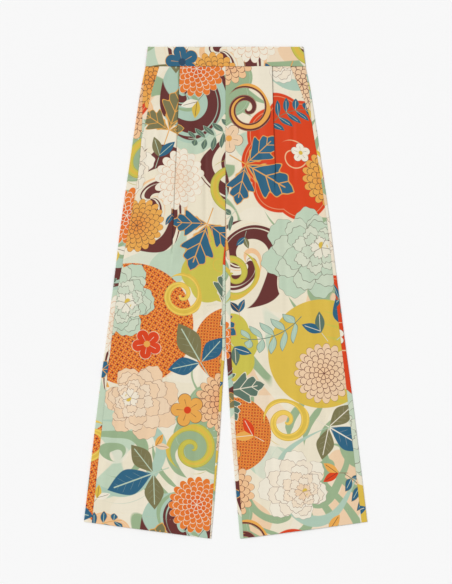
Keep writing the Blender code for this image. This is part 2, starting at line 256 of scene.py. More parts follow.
CREASES = {side: tuple(Crease(*row) for row in rows) for side, rows in {
    Side.RIGHT: (
        (55.0, 55.0, 150.0, 470.0, 13.0, 1.5),
        (205.0, 205.0, 430.0, 800.0, 18.0, 0.8),
        (120.0, 120.0, 620.0, 1010.0, 26.0, 0.9),
        (47.0, 44.0, 160.0, 440.0, 4.2, -1.7),
        (24.0, 33.0, 190.0, 520.0, 6.0, 1.22),
        (150.0, 160.0, 100.0, 400.0, 7.0, 1.35),
        (172.0, 190.0, 140.0, 450.0, 6.0, -1.22),
        (76.0, 92.0, 400.0, 760.0, 8.0, -1.49),
        (132.0, 152.0, 440.0, 900.0, 9.0, 1.7),
        (226.0, 246.0, 520.0, 960.0, 7.0, -1.49),
        (186.0, 214.0, 560.0, 1010.0, 10.0, 1.62),
        (50.0, 66.0, 520.0, 880.0, 7.0, 1.35),
        (168.0, 190.0, 740.0, 1085.0, 8.0, -1.22),
        (62.0, 76.0, 780.0, 1085.0, 7.0, -1.35),
        (102.0, 118.0, 820.0, 1085.0, 8.0, 1.35),
        (256.0, 284.0, 840.0, 1085.0, 8.0, 1.22),
    ),
    Side.LEFT: (
        (148.0, 148.0, 120.0, 260.0, 13.0, 1.4),
        (62.0, 62.0, 250.0, 520.0, 16.0, 0.9),
        (190.0, 190.0, 560.0, 960.0, 28.0, 1.0),
        (150.0, 155.0, 90.0, 330.0, 4.4, -1.7),
        (30.0, 46.0, 110.0, 380.0, 7.0, 1.35),
        (72.0, 84.0, 130.0, 300.0, 6.0, -1.08),
        (126.0, 142.0, 310.0, 680.0, 7.0, -1.62),
        (172.0, 198.0, 290.0, 740.0, 9.0, 1.7),
        (226.0, 246.0, 440.0, 840.0, 8.0, 1.49),
        (92.0, 110.0, 640.0, 1050.0, 8.0, -1.62),
        (46.0, 62.0, 540.0, 920.0, 8.0, 1.49),
        (148.0, 172.0, 620.0, 1030.0, 9.0, 1.62),
        (216.0, 242.0, 740.0, 1085.0, 8.0, -1.49),
        (262.0, 286.0, 780.0, 1085.0, 8.0, 1.22),
        (70.0, 82.0, 860.0, 1085.0, 7.0, 1.22),
        (128.0, 140.0, 880.0, 1085.0, 7.0, -1.08),
    ),
}.items()}


def smooth(value: np.ndarray | float, start: float, end: float) -> np.ndarray:
    """Ease from one end of a run to the other.

    Args:
        value: where to read it.
        start: the last value that gives 0.
        end: the first value that gives 1.

    Returns:
        A soft S from 0 to 1, three times the share squared less twice its cube.
    """
    share = np.clip((np.asarray(value, float) - start) / (end - start), 0.0, 1.0)
    return share * share * (3.0 - 2.0 * share)


def blend(first: np.ndarray, second: np.ndarray, weight: np.ndarray) -> np.ndarray:
    """Move from the first value to the second as the weight goes from 0 to 1."""
    return first + (second - first) * weight


def spread(start: np.ndarray, end: np.ndarray, count: int) -> np.ndarray:
    """Columns between two columns, evenly spaced, without the two themselves."""
    return start + (end - start) * np.linspace(0.0, 1.0, count + 1)[1:-1]


def path_length(reach: np.ndarray, height: np.ndarray) -> np.ndarray:
    """Length along each row of a grid from its last column back to every column."""
    steps = np.hypot(np.diff(reach, axis=1), np.diff(height, axis=1))
    whole = np.cumsum(steps[:, ::-1], axis=1)[:, ::-1]
    return np.hstack([whole, np.zeros((len(reach), 1))])


def unit(vectors: np.ndarray) -> np.ndarray:
    """The vectors, each brought to length 1."""
    return vectors / np.maximum(np.linalg.norm(vectors, axis=-1, keepdims=True), 1e-12)


def grid_normals(points: np.ndarray) -> np.ndarray:
    """Unit normals of a grid: the cross product of its differences across and down."""
    return unit(np.cross(np.gradient(points, axis=1), np.gradient(points, axis=0)))


def leg_drops() -> np.ndarray:
    """Drops of a leg's rows: even, and closer at the waist, the hem and its stitching."""
    near_waist = WAIST_SEAM + HALF_GAP + np.array(SEAM_STEPS)
    near_hem = HEM - np.array(HEM_STEPS)
    stitching = STITCH_LINE + np.array(STITCH_STEPS)
    first, last = near_waist.max() + GRAIN, stitching.min() - GRAIN
    body = np.linspace(first, last, int((last - first) / GRAIN) + 1)
    turned = np.linspace(stitching.max() + GRAIN, near_hem.min() - GRAIN, 5)
    return np.sort(np.concatenate([near_waist, body, stitching, turned, near_hem]))


def grid_quads(rows: int, columns: int) -> np.ndarray:
    """The quads of a grid, each as the numbers of its four corners."""
    index = np.arange(rows * columns).reshape(rows, columns)
    return np.stack([index[:-1, :-1], index[:-1, 1:], index[1:, 1:], index[1:, :-1]],
                    axis=-1).reshape(-1, 4)


def world_points(x: np.ndarray, y: np.ndarray, z: np.ndarray) -> np.ndarray:
    """Points in metres, as one array, of millimetres across, along and up."""
    return np.stack(np.broadcast_arrays(x, y, z), axis=-1) * MM


@dataclass
class ClothGrid:
    """A panel as a grid of rows down the garment and columns across it.

    Attributes:
        points: mid surface, in metres.
        place: where each point lies on the uncut cloth, in metres.
        painted_shade: how much shade is painted on a point for lying in a fold or seam:
        NOOK_PAINTED_SHADE under a pleat, SEAM_PAINTED_SHADE on a seam's edge, and 0 a
        few millimetres from either.
        outward: unit normals that point out of the garment.
    """

    points: np.ndarray
    place: np.ndarray
    painted_shade: np.ndarray
    outward: np.ndarray

    def sink(self, depth: np.ndarray) -> None:
        """Move the points in along their normals by a depth in metres, a row's or a point's."""
        self.points = self.points - self.outward * depth[..., None]

    def turn_up(self, rows_up: int, radius: float) -> None:
        """Turn the last row round a half circle and back up inside the garment.

        The circle is laid between the way down the cloth and the inward normal; the rows
        above then repeat one bend's width further in.

        Args:
            rows_up: how many rows the turned cloth covers.
            radius: radius of the bend, in metres.
        """
        edge, inward = self.points[-1], -self.outward[-1]
        down = unit(self.points[-1] - self.points[-2])
        angles = np.linspace(0.0, math.pi, 7)[1:, None, None]
        bend = edge + radius * (1.0 - np.cos(angles)) * inward + radius * np.sin(angles) * down
        inner = (self.points - 2.0 * radius * self.outward)[-rows_up:-1][::-1]
        bend_place = self.place[-1] - np.array([0.0, 1.0]) * radius * angles
        inner_place = self.place[-rows_up:-1][::-1] - np.array([0.0, 1.0]) * radius * math.pi
        self.points = np.concatenate([self.points, bend, inner])
        self.place = np.concatenate([self.place, bend_place, inner_place])
        turned = np.zeros((len(bend) + len(inner), self.painted_shade.shape[1]))
        self.painted_shade = np.concatenate([self.painted_shade, turned])
        self.outward = grid_normals(self.points) * self._facing()

    def _facing(self) -> float:
        """Sign that makes the grid's own normals agree with the outward ones."""
        rows = len(self.outward)
        own = grid_normals(self.points[:rows])
        return 1.0 if float((own * self.outward).sum()) > 0.0 else -1.0


def cloth_grid(points: np.ndarray, place: np.ndarray, edge_distance: np.ndarray,
               up: bool) -> ClothGrid:
    """Make a panel's grid and roll its edges into their seams.

    The roll is SEAM_ROLL deep at the very edge and falls off as a bell, and the shade painted
    along the seamed edges falls off the same way.

    Args:
        points: mid surface, in metres.
        place: place on the uncut cloth, in metres.
        edge_distance: distance of each point from the nearest seamed edge, millimetres.
        up: True where most of the panel faces up.

    Returns:
        The grid, with its outward normals.
    """
    normals = grid_normals(points)
    if (normals[..., 2].mean() > 0.0) != up:
        normals = -normals
    edge_falloff = np.exp(-(edge_distance / ROLL_REACH) ** 2)
    # painted shade along the seamed edges; the same bell sets how deep they roll in
    grid = ClothGrid(points, place, SEAM_PAINTED_SHADE * edge_falloff, normals)
    grid.sink(SEAM_ROLL * MM * edge_falloff)
    return grid


@dataclass
class LegShape:
    """One leg's cross-sections at every drop, as columns of sizes."""

    side: Side
    drops: np.ndarray
    creases: Sequence[Crease]
    side_drop: np.ndarray = field(init=False)
    inner_drop: np.ndarray = field(init=False)
    outer: np.ndarray = field(init=False)
    inner: np.ndarray = field(init=False)
    outseam: np.ndarray = field(init=False)
    inner_wrap: np.ndarray = field(init=False)
    fork: np.ndarray = field(init=False)
    ease: np.ndarray = field(init=False)

    def __post_init__(self) -> None:
        """Read the tables at the drops."""
        self.drops = np.asarray(self.drops, float)[:, None]
        slant = HEM_SLANT / 2.0 * smooth(self.drops, CROTCH, HEM)
        self.side_drop, self.inner_drop = self.drops - slant, self.drops + slant
        self.outer = SECTIONS.read("side", self.side_drop) - SHELL / 2.0
        self.inner = SECTIONS.read("inner", self.inner_drop)
        self.outseam = self.outer - WRAPS[self.side].read("side_wrap", self.drops)
        self.inner_wrap = WRAPS[self.side].read("inner_wrap", self.drops)
        self.fork = smooth(self.drops, CROTCH - FORK_RUN, CROTCH)
        nearness = (self.drops - CROTCH + FORK_RUN / 2.0) / FORK_RUN
        self.ease = FORK_EASE * np.exp(-nearness ** 2)
        self.inner = self.inner + self.ease

    def opening(self) -> np.ndarray:
        """How far the pocket opening lies inside the outseam at each drop."""
        pocket = POCKETS[self.side]
        share = (pocket.end - self.drops) / (pocket.end - WAIST_SEAM)
        return pocket.width * np.clip(share, 0.0, 1.0)

    def lie(self, reach: np.ndarray) -> np.ndarray:
        """Mid height of the upper layer at a reach.

        The hips rise as a parabola from the side fold to the centre line, each leg as one
        from fold to fold, and the creases' bells are added.
        """
        side_share = np.clip((self.outer - reach) / self.outer, 0.0, 1.0)
        hips = 1.0 - (1.0 - side_share) ** 2
        across = np.clip((reach - self.inner) / (self.outer - self.inner), 0.0, 1.0)
        own = 4.0 * across * (1.0 - across)
        own_weight = smooth(self.drops, CROTCH - LEGS_PART[1], CROTCH - LEGS_PART[0])
        height = LIE + (1.0 - own_weight) * TORSO_PUFF * hips + own_weight * LEG_PUFF * own
        for crease in self.creases:
            height = height + crease.height(reach, self.drops)
        return height

    def points(self, reach: np.ndarray, height: np.ndarray) -> np.ndarray:
        """World points, in metres, of a grid of reaches and heights."""
        share = np.clip((reach - self.inner) / (self.outer - self.inner), 0.0, 1.0)
        drop = self.inner_drop + (self.side_drop - self.inner_drop) * share
        return world_points(self.side.value * reach, LENGTH / 2.0 - drop, height)

    def inner_turn(self, distance: np.ndarray, rising: bool) -> tuple[np.ndarray, np.ndarray]:
        """Follow the cloth round the inner fold.

        Above the crotch the cloth runs on flat to the centre line. Below it, it turns
        round a half circle and runs on outwards. The two are blended at the crotch.

        Args:
            distance: length along the cloth past the place where it starts to turn.
            rising: True for the back, which comes up from the floor.

        Returns:
            The reach and the height at each distance.
        """
        start = self.inner + FOLD_RADIUS
        angle = np.clip(distance / FOLD_RADIUS, 0.0, math.pi)
        past = np.maximum(distance - FOLD_ARC, 0.0)
        before = -np.minimum(distance, 0.0)
        reach = start + before - FOLD_RADIUS * np.sin(angle) + past
        bend = FOLD_RADIUS * (1.0 - np.cos(angle))
        flat = start - distance
        over = self.lie(reach) - LIE
        if rising:
            height = FLOOR_MID + bend + over * smooth(past, 0.0, 2.0)
            flat_height = np.full_like(flat, FLOOR_MID)
        else:
            height = LIE - bend + over * (1.0 - smooth(distance, -2.0, 1.0))
            flat_height = self.lie(flat)
        return blend(flat, reach, self.fork), blend(flat_height, height, self.fork)

    def seam_end(self, on_fold: np.ndarray) -> np.ndarray:
        """Length past the start of the inner turn where a piece ends in its seam."""
        centre = self.inner + FOLD_RADIUS - self.ease
        return blend(centre, on_fold, self.fork) - HALF_GAP - self.ease / 2.0


@dataclass(frozen=True)
class PrintWindow:
    """Where a piece is cut from the printed cloth: a shift, in metres."""

    across: float
    along: float

    def place(self, x: np.ndarray, y: np.ndarray) -> np.ndarray:
        """Places on the printed cloth, in metres, of millimetres across and along."""
        across, along = x * MM + self.across, y * MM + self.along
        return np.stack(np.broadcast_arrays(across, along), axis=-1)


@dataclass
class FrontPanel:
    """Front of one leg: opening or outseam, pleat, then the centre seam or the inseam."""

    shape: LegShape
    window: PrintWindow
    outer_columns: int = 34     # spaces from the outer edge to the pleat's visible fold
    hidden_columns: int = 6     # from that fold to the one under it
    inner_columns: int = 40     # from the pleat towards the inner seam
    underlay_columns: int = 4   # across the pleat's lowest layer
    arc_steps: int = 7          # steps round each of the pleat's folds
    seam_run: tuple[float, float] = (14.0, 5.6)     # run over which columns close up
    seam_columns: int = 7                           # before the inner seam's own

    def pleat(self) -> tuple[np.ndarray, np.ndarray]:
        """Follow the Z of the pleat from where its lower layer starts to turn back.

        Each fold is an arc that keeps its length, its radius the length over the turn, so
        the pleat opens out and runs into flat cloth as its turn falls to nothing.

        Returns:
            Steps inwards from there, and steps upwards.
        """
        table = PLEATS[self.shape.side]
        turn = np.radians(np.maximum(table.read("turn", self.shape.drops), 0.5))
        length = table.read("underlay", self.shape.drops)
        radius = math.pi * PLEAT_BEND / turn
        angles = turn * np.linspace(0.0, 1.0, self.arc_steps + 1)
        first_in, first_up = radius * np.sin(angles), radius * (1.0 - np.cos(angles))
        run = length * np.linspace(0.0, 1.0, self.underlay_columns + 1)[1:-1]
        back_in = first_in[:, -1:] + np.hstack([run, length]) * np.cos(turn)
        back_up = first_up[:, -1:] + np.hstack([run, length]) * np.sin(turn)
        second_in = back_in[:, -1:] + radius * (np.sin(turn) - np.sin(turn - angles))
        second_up = back_up[:, -1:] + radius * (np.cos(turn - angles) - np.cos(turn))
        return (np.hstack([first_in, back_in[:, :-1], second_in]),
                np.hstack([first_up, back_up[:, :-1], second_up]))

    def grid(self) -> ClothGrid:
        """Work out the panel's grid and turn up its hem."""
        shape, steps = self.shape, np.array(SEAM_STEPS)
        edge = shape.outseam - shape.opening() - HALF_GAP
        table = PLEATS[shape.side]
        visible = table.read("reach", shape.drops)
        start = visible - table.read("underlay", shape.drops) - PLEAT_BEND
        near_edge, near_fold = edge - steps, visible + steps[::-1]
        outer = np.hstack([
            near_edge, spread(near_edge[:, -1:], near_fold[:, :1], self.outer_columns),
            near_fold, spread(visible, start, self.hidden_columns)])
        over = 1.0 - smooth(edge - outer, LAP + LAP_SETTLE[0], LAP + LAP_SETTLE[1])
        pocket_end = POCKETS[shape.side].end
        over = over * (1.0 - smooth(shape.drops, pocket_end, pocket_end + LAP_FADE))
        outer_height = shape.lie(outer) + LAP_RISE * over

        steps_in, steps_up = self.pleat()
        fold, fold_height = start - steps_in, shape.lie(start) + steps_up

        end = shape.seam_end(FOLD_ARC / 2.0 - shape.inner_wrap)
        leading = np.linspace(*self.seam_run, self.seam_columns)
        last = end - np.concatenate([leading, steps[::-1]])
        last_reach, last_height = shape.inner_turn(last, rising=False)
        first = fold[:, -1:]
        inner = spread(first, last_reach[:, :1], self.inner_columns)
        settle = 1.0 - smooth(start - inner, *PLEAT_SETTLE)
        inner_height = shape.lie(inner) + steps_up[:, -1:] * settle

        reach = np.hstack([outer, fold, inner, last_reach])
        height = np.hstack([outer_height, fold_height, inner_height, last_height])
        lengths = path_length(reach, height)
        points = shape.points(reach, height)
        across = shape.side.value * (lengths + reach[:, -1:])
        place = self.window.place(across, points[..., 1] / MM)
        distance = np.minimum(lengths, lengths[:, :1] - lengths)
        distance = np.minimum(distance, shape.drops - WAIST_SEAM)
        grid = cloth_grid(points, place, distance, up=True)
        # painted shade in the nook under the pleat's fold, where stronger than the seams'
        grid.painted_shade = np.maximum(grid.painted_shade, self.pleat_shade(outer, reach))
        finish_hem(grid, shape.drops)
        return grid

    def pleat_shade(self, outer: np.ndarray, reach: np.ndarray) -> np.ndarray:
        """How much painted shade each point gets in the nook of the pleat.

        Under the fold it is whole, and outside it falls off as a bell; along the pleat it
        goes as the fold opens out.

        Args:
            outer: reaches of the columns outside the pleat's folds.
            reach: reaches of all columns.

        Returns:
            A strength of painted shade for every point, 0 on open cloth.
        """
        table = PLEATS[self.shape.side]
        visible = table.read("reach", self.shape.drops)
        shut = smooth(table.read("turn", self.shape.drops), *NOOK_TURNS)
        away = np.maximum(outer - visible, 0.0)
        nook_shade = np.zeros_like(reach)
        nook_shade[:, :outer.shape[1]] = NOOK_PAINTED_SHADE * shut * np.exp(-(away / NOOK_REACH) ** 2)
        return nook_shade


@dataclass
class BackPanel:
    """Back of one leg: inner seam, floor, side fold, and the strip up to the outseam."""

    shape: LegShape
    window: PrintWindow
    floor_columns: int = 44     # spaces across the part that lies on the floor
    turn_steps: int = 9         # steps round each side fold
    # columns of the strips that show beside the inseam and the outseam, as shares of them
    inner_shares: tuple[float, ...] = (0.0, 0.05, 0.14, 0.3, 0.6, 1.0)
    outer_shares: tuple[float, ...] = (0.2, 0.45, 0.7, 0.86, 0.95, 1.0)

    def grid(self) -> ClothGrid:
        """Work out the panel's grid and turn up its hem."""
        shape = self.shape
        end = shape.seam_end(FOLD_ARC / 2.0 + shape.inner_wrap)
        strip = np.maximum(end - FOLD_ARC, 0.5) * np.array(self.inner_shares)
        turn = np.linspace(0.0, 1.0, self.turn_steps + 1)[1:] * (FOLD_ARC + 0.6)
        behind = np.hstack([strip, strip[:, -1:] + turn])
        tail_reach, tail_height = shape.inner_turn(end - behind, rising=True)

        side_start = shape.outer - FOLD_RADIUS
        floor = spread(tail_reach[:, -1:], side_start, self.floor_columns)
        angles = np.linspace(0.0, math.pi, self.turn_steps + 1)
        fold = side_start + FOLD_RADIUS * np.sin(angles)
        fold_height = FLOOR_MID + FOLD_RADIUS * (1.0 - np.cos(angles))
        seam = np.minimum(shape.outseam + HALF_GAP, side_start - 0.5)
        strip_reach = side_start + (seam - side_start) * np.array(self.outer_shares)
        reach = np.hstack([tail_reach, floor, fold, strip_reach])
        height = np.hstack([tail_height, np.full_like(floor, FLOOR_MID),
                            np.broadcast_to(fold_height, fold.shape), shape.lie(strip_reach)])
        from_end = path_length(reach, height)
        from_seam = from_end[:, :1] - from_end
        points = shape.points(reach, height)
        place = self.window.place(shape.side.value * from_seam, points[..., 1] / MM)
        distance = np.minimum(from_end, np.where(shape.fork > 0.5, from_seam, FAR))
        grid = cloth_grid(points, place, distance, up=False)
        finish_hem(grid, shape.drops)
        return grid


def finish_hem(grid: ClothGrid, drops: np.ndarray) -> None:
    """Sink the cloth a little under the hem's stitching, and turn the hem up inside."""
    from_stitch = (drops - STITCH_LINE) / STITCH_RUN
    grid.sink(STITCH_SINK * MM * np.exp(-from_stitch ** 2))
    rows_up = int((drops > STITCH_LINE - 0.01).sum())
    grid.turn_up(rows_up, HEM_RADIUS * MM)


@dataclass
class FacingPanel:
    """Cloth behind the slanted pocket opening, from the outseam to a lap under the front."""

    side: Side
    window: PrintWindow
    columns: int = 9

    def grid(self) -> ClothGrid:
        """Work out the panel's grid."""
        pocket = POCKETS[self.side]
        near = WAIST_SEAM + HALF_GAP + np.array(SEAM_STEPS)
        rows = int((pocket.end - near.max()) / GRAIN)
        drops = np.concatenate([near, np.linspace(near.max() + GRAIN, pocket.end - 1.0, rows)])
        shape = LegShape(self.side, drops, CREASES[self.side])
        seam = np.minimum(shape.outseam, shape.outer - FOLD_RADIUS - 0.5) - HALF_GAP
        edge = shape.outseam - shape.opening() - LAP
        near_seam = seam - np.array(SEAM_STEPS) * np.minimum((seam - edge) / 12.0, 1.0)
        inside = spread(near_seam[:, -1:], edge, self.columns)
        reach = np.hstack([near_seam, inside, edge])
        points = shape.points(reach, shape.lie(reach))
        place = self.window.place(self.side.value * reach, points[..., 1] / MM)
        distance = np.minimum(seam - reach, shape.drops - WAIST_SEAM)
        return cloth_grid(points, place, distance, up=True)


@dataclass
class BandPanel:
    """Half of the waistband, folded double at its top edge."""

    front: bool
    window: PrintWindow
    columns: int = 84
    end_steps: int = 7
    bend_steps: int = 8

    def profile(self) -> tuple[np.ndarray, np.ndarray]:
        """Follow the band from its seam up to the top edge, round it and down inside.

        Returns:
            The drop of each row, and how far it lies outside the band's middle: half the
            space between the layers, turned by the cosine of a half circle at the top.
        """
        half = (BAND_WALL - BAND_LAYER) / 2.0
        top = half + BAND_LAYER / 2.0
        near = BAND_DEPTH - np.array(SEAM_STEPS)
        rise = np.linspace(near.min() - GRAIN, top, 9)
        angles = np.linspace(0.0, math.pi, self.bend_steps + 1)[1:-1]
        bend = top - half * np.sin(angles)
        inner = np.linspace(top, BAND_DEPTH - 0.6, 8)
        drops = np.concatenate([near, rise, bend, inner])
        offset = np.concatenate([np.full(len(near) + len(rise), half), half * np.cos(angles),
                                 np.full(len(inner), -half)])
        return drops[:, None], offset[:, None]

    def rise(self, x: np.ndarray, drops: np.ndarray, half: np.ndarray) -> np.ndarray:
        """Soft rise of the front half between its ends, and over the pleats sewn into it."""
        share = np.clip(1.0 - np.abs(x) / half, 0.0, 1.0)
        height = TORSO_PUFF * (1.0 - (1.0 - share) ** 2)
        for side, table in PLEATS.items():
            middle = side.value * (table.rows[0][1] - table.rows[0][2] / 2.0)
            bell = np.exp(-((x - middle) / BAND_BULGE) ** 2)
            height = height + 2.0 * PLEAT_BEND * bell * smooth(drops, 0.0, BAND_DEPTH)
        return height

    def grid(self) -> ClothGrid:
        """Work out the band's grid: flat across, its ends turned down round the sides."""
        drops, offset = self.profile()
        top_half, seam_half = SECTIONS.read("side", np.array([0.0, WAIST_SEAM]))
        top_half = top_half + BAND_FLARE
        half = top_half + (seam_half - top_half) * drops / BAND_DEPTH - BAND_WALL / 2.0
        radius = BAND_RADIUS + offset
        last = math.pi / 2.0 - HALF_GAP / BAND_RADIUS
        angles = np.linspace(0.0, last, self.end_steps + 1)
        turned = half - BAND_RADIUS + radius * np.sin(angles)
        middle = (half - BAND_RADIUS) * np.linspace(-1.0, 1.0, self.columns + 1)[1:-1]
        drop_round = radius * np.cos(angles)
        x = np.hstack([-turned[:, ::-1], middle, turned])
        level = np.hstack([drop_round[:, ::-1], np.broadcast_to(radius, middle.shape),
                           drop_round])
        centre = BAND_WALL / 2.0 + BAND_RADIUS
        if self.front:
            height = centre + level + self.rise(x, drops, half)
        else:
            height = centre - level
        y = LENGTH / 2.0 - drops
        points = world_points(x, y, height)
        lengths = path_length(x, height)
        across = lengths[:, lengths.shape[1] // 2, None] - lengths
        over_top = np.where(offset > 0.0, y, LENGTH - y)
        place = self.window.place(across, over_top)
        from_seam = np.where(offset > 0.0, BAND_DEPTH - drops, FAR)
        from_end = np.minimum(lengths, lengths[:, :1] - lengths)
        # painted shade along the band's seam and its turned ends, a bell from the edge
        edge_falloff = np.exp(-(np.minimum(from_seam, from_end) / ROLL_REACH) ** 2)
        grid = ClothGrid(points, place, SEAM_PAINTED_SHADE * edge_falloff, grid_normals(points))
        if (grid.outward[0, :, 2].mean() > 0.0) != self.front:
            grid.outward = -grid.outward
        grid.sink(BAND_SINK * MM * np.exp(-(from_seam / ROLL_REACH) ** 2))
        return grid


Panel = FrontPanel | BackPanel | FacingPanel | BandPanel


# ------------------------------------------------------------------ the printed design
class Dye(Enum):
    """Colours of the print as they look on the cloth, red, green and blue to 255."""

    CREAM = (238, 228, 203)
    PALE = (242, 234, 215)
    BLUSH = (240, 207, 170)
    PEACH = (242, 196, 148)
    ROSE = (228, 184, 150)
    GOLD = (236, 170, 78)
    ORANGE = (232, 122, 40)
    TANGERINE = (222, 88, 24)
    VERMILION = (220, 64, 12)
    MAROON = (102, 44, 40)
    BROWN = (84, 58, 46)
    SAGE = (155, 179, 139)
    MINT = (194, 212, 187)
    AQUA = (176, 202, 182)
    SLATE = (92, 116, 100)
    OLIVE = (124, 118, 78)
    LIME = (204, 194, 76)
    MUSTARD = (222, 188, 72)
    LEMON = (242, 204, 88)
    BLUE = (40, 98, 128)
    DEEP = (34, 68, 96)

    def linear(self) -> tuple[float, float, float, float]:
        """The colour as a shader takes it, by the usual curve for screens."""
        share = np.array(self.value, float) / 255.0
        low, high = share / 12.92, ((share + 0.055) / 1.055) ** 2.4
        return (*np.where(share <= 0.04045, low, high).tolist(), 1.0)


class Motif(IntEnum):
    """The drawn motifs of the print, with the number that marks each on the cloth."""

    NONE = 0
    CLOUD = 1
    MARBLE = 2
    LATTICE = 3
    RIPPLE = 4
    DISC = 5
    MUM = 6
    PEONY = 7
    SPRIG = 8
    LOBED = 9
    LEAVES = 10
    CURL = 11
    BUD = 12
    LEAF_PAIR = 13


@dataclass(frozen=True)
class Placing:
    """One motif on the repeat: centre and radius in millimetres, turn in degrees."""

    motif: Motif
    across: float
    along: float
    radius: float
    turn: float
    paint: Dye
    trim: Dye
    accent: Dye


REPEAT = (660.0, 980.0)     # the design's repeat, across and along
DYES = ("paint", "trim", "accent")      # the dyes of a motif, as Placing names them

BACKDROP = (
    Placing(Motif.MARBLE, 505, 415, 132, 20, Dye.MAROON, Dye.CREAM, Dye.PEACH),
    Placing(Motif.CLOUD, 600, 205, 96, 40, Dye.LIME, Dye.MUSTARD, Dye.SAGE),
    Placing(Motif.LATTICE, 440, 120, 140, 12, Dye.TANGERINE, Dye.LEMON, Dye.MAROON),
    Placing(Motif.CLOUD, 620, 960, 104, 80, Dye.SAGE, Dye.MINT, Dye.AQUA),
    Placing(Motif.RIPPLE, 430, 840, 122, 65, Dye.PALE, Dye.SAGE, Dye.AQUA),
    Placing(Motif.MARBLE, 590, 700, 112, 140, Dye.MAROON, Dye.AQUA, Dye.SAGE),
    Placing(Motif.CLOUD, 400, 620, 84, 15, Dye.PEACH, Dye.CREAM, Dye.BLUSH),
    Placing(Motif.CLOUD, 140, 690, 146, 75, Dye.VERMILION, Dye.PEACH, Dye.ORANGE),
    Placing(Motif.MARBLE, 60, 450, 110, 250, Dye.MAROON, Dye.CREAM, Dye.PEACH),
    Placing(Motif.CLOUD, 270, 480, 92, 120, Dye.SAGE, Dye.MINT, Dye.AQUA),
    Placing(Motif.DISC, 210, 270, 124, 0, Dye.MUSTARD, Dye.LIME, Dye.LEMON),
    Placing(Motif.RIPPLE, 160, 20, 126, 310, Dye.PALE, Dye.SAGE, Dye.AQUA),
    Placing(Motif.LATTICE, 30, 230, 88, 40, Dye.TANGERINE, Dye.LEMON, Dye.MAROON),
)

BLOOMS = (
    Placing(Motif.PEONY, 385, 250, 104, 70, Dye.MINT, Dye.BROWN, Dye.PALE),
    Placing(Motif.LOBED, 560, 330, 82, 250, Dye.BLUE, Dye.GOLD, Dye.MINT),
    Placing(Motif.MUM, 420, 430, 62, 5, Dye.GOLD, Dye.BROWN, Dye.ORANGE),
    Placing(Motif.CURL, 520, 215, 52, 0, Dye.LEMON, Dye.OLIVE, Dye.MUSTARD),
    Placing(Motif.LEAVES, 600, 90, 74, 120, Dye.BLUE, Dye.MINT, Dye.OLIVE),
    Placing(Motif.MUM, 600, 460, 74, 0, Dye.PALE, Dye.ROSE, Dye.BLUSH),
    Placing(Motif.PEONY, 520, 960, 92, 250, Dye.BLUSH, Dye.MAROON, Dye.PALE),
    Placing(Motif.CURL, 610, 860, 60, 110, Dye.LIME, Dye.OLIVE, Dye.MUSTARD),
    Placing(Motif.SPRIG, 390, 930, 72, 300, Dye.BLUE, Dye.OLIVE, Dye.MINT),
    Placing(Motif.LEAVES, 470, 760, 80, 200, Dye.OLIVE, Dye.MINT, Dye.BLUE),
    Placing(Motif.MUM, 620, 740, 66, 0, Dye.ORANGE, Dye.CREAM, Dye.VERMILION),
    Placing(Motif.LOBED, 500, 620, 74, 75, Dye.OLIVE, Dye.GOLD, Dye.SAGE),
    Placing(Motif.PEONY, 400, 540, 88, 30, Dye.PALE, Dye.BROWN, Dye.BLUSH),
    Placing(Motif.SPRIG, 590, 590, 62, 200, Dye.SLATE, Dye.MINT, Dye.SAGE),
    Placing(Motif.LOBED, 60, 640, 92, 330, Dye.BLUE, Dye.GOLD, Dye.MINT),
    Placing(Motif.MUM, 185, 700, 66, 0, Dye.GOLD, Dye.BROWN, Dye.ORANGE),
    Placing(Motif.SPRIG, 260, 600, 66, 30, Dye.BLUE, Dye.GOLD, Dye.MINT),
    Placing(Motif.PEONY, 180, 500, 112, 115, Dye.MINT, Dye.BROWN, Dye.PALE),
    Placing(Motif.CURL, 40, 400, 62, 300, Dye.LIME, Dye.OLIVE, Dye.MUSTARD),
    Placing(Motif.LEAVES, 280, 370, 76, 40, Dye.BLUE, Dye.MINT, Dye.OLIVE),
    Placing(Motif.SPRIG, 130, 330, 78, 200, Dye.AQUA, Dye.SLATE, Dye.MINT),
    Placing(Motif.MUM, 260, 215, 70, 0, Dye.BLUSH, Dye.MAROON, Dye.PEACH),
    Placing(Motif.CURL, 130, 190, 56, 60, Dye.LEMON, Dye.OLIVE, Dye.MUSTARD),
    Placing(Motif.LOBED, 30, 130, 72, 10, Dye.SLATE, Dye.CREAM, Dye.SAGE),
    Placing(Motif.LEAVES, 250, 80, 74, 330, Dye.OLIVE, Dye.PALE, Dye.BLUE),
    Placing(Motif.PEONY, 150, 20, 86, 60, Dye.PALE, Dye.MAROON, Dye.BLUSH),
    Placing(Motif.MUM, 40, 930, 70, 0, Dye.PEACH, Dye.MAROON, Dye.ORANGE),
    Placing(Motif.SPRIG, 180, 880, 64, 20, Dye.BLUE, Dye.OLIVE, Dye.MINT),
    Placing(Motif.LEAVES, 290, 840, 72, 150, Dye.BLUE, Dye.GOLD, Dye.SLATE),
    Placing(Motif.CURL, 70, 800, 58, 15, Dye.MAROON, Dye.PEACH, Dye.GOLD),
)

SPRINKLE_COUNT = 22
SPRINKLE_STEPS = (0.7548776662, 0.5698402910)   # from one to the next, in repeats
SPRINKLE_TURN = 77.0                            # the same, in degrees
SPRINKLE_MOTIFS = (Motif.BUD, Motif.LEAF_PAIR, Motif.LEAF_PAIR)
SPRINKLE_RADII = (27.0, 40.0, 34.0, 23.0, 36.0)
SPRINKLE_DYES = (
    (Dye.GOLD, Dye.MAROON, Dye.VERMILION),
    (Dye.BLUE, Dye.MINT, Dye.OLIVE),
    (Dye.VERMILION, Dye.CREAM, Dye.GOLD),
    (Dye.PALE, Dye.BROWN, Dye.MUSTARD),
    (Dye.SLATE, Dye.CREAM, Dye.BLUE),
    (Dye.BLUSH, Dye.BROWN, Dye.GOLD),
    (Dye.BLUE, Dye.GOLD, Dye.DEEP),
)


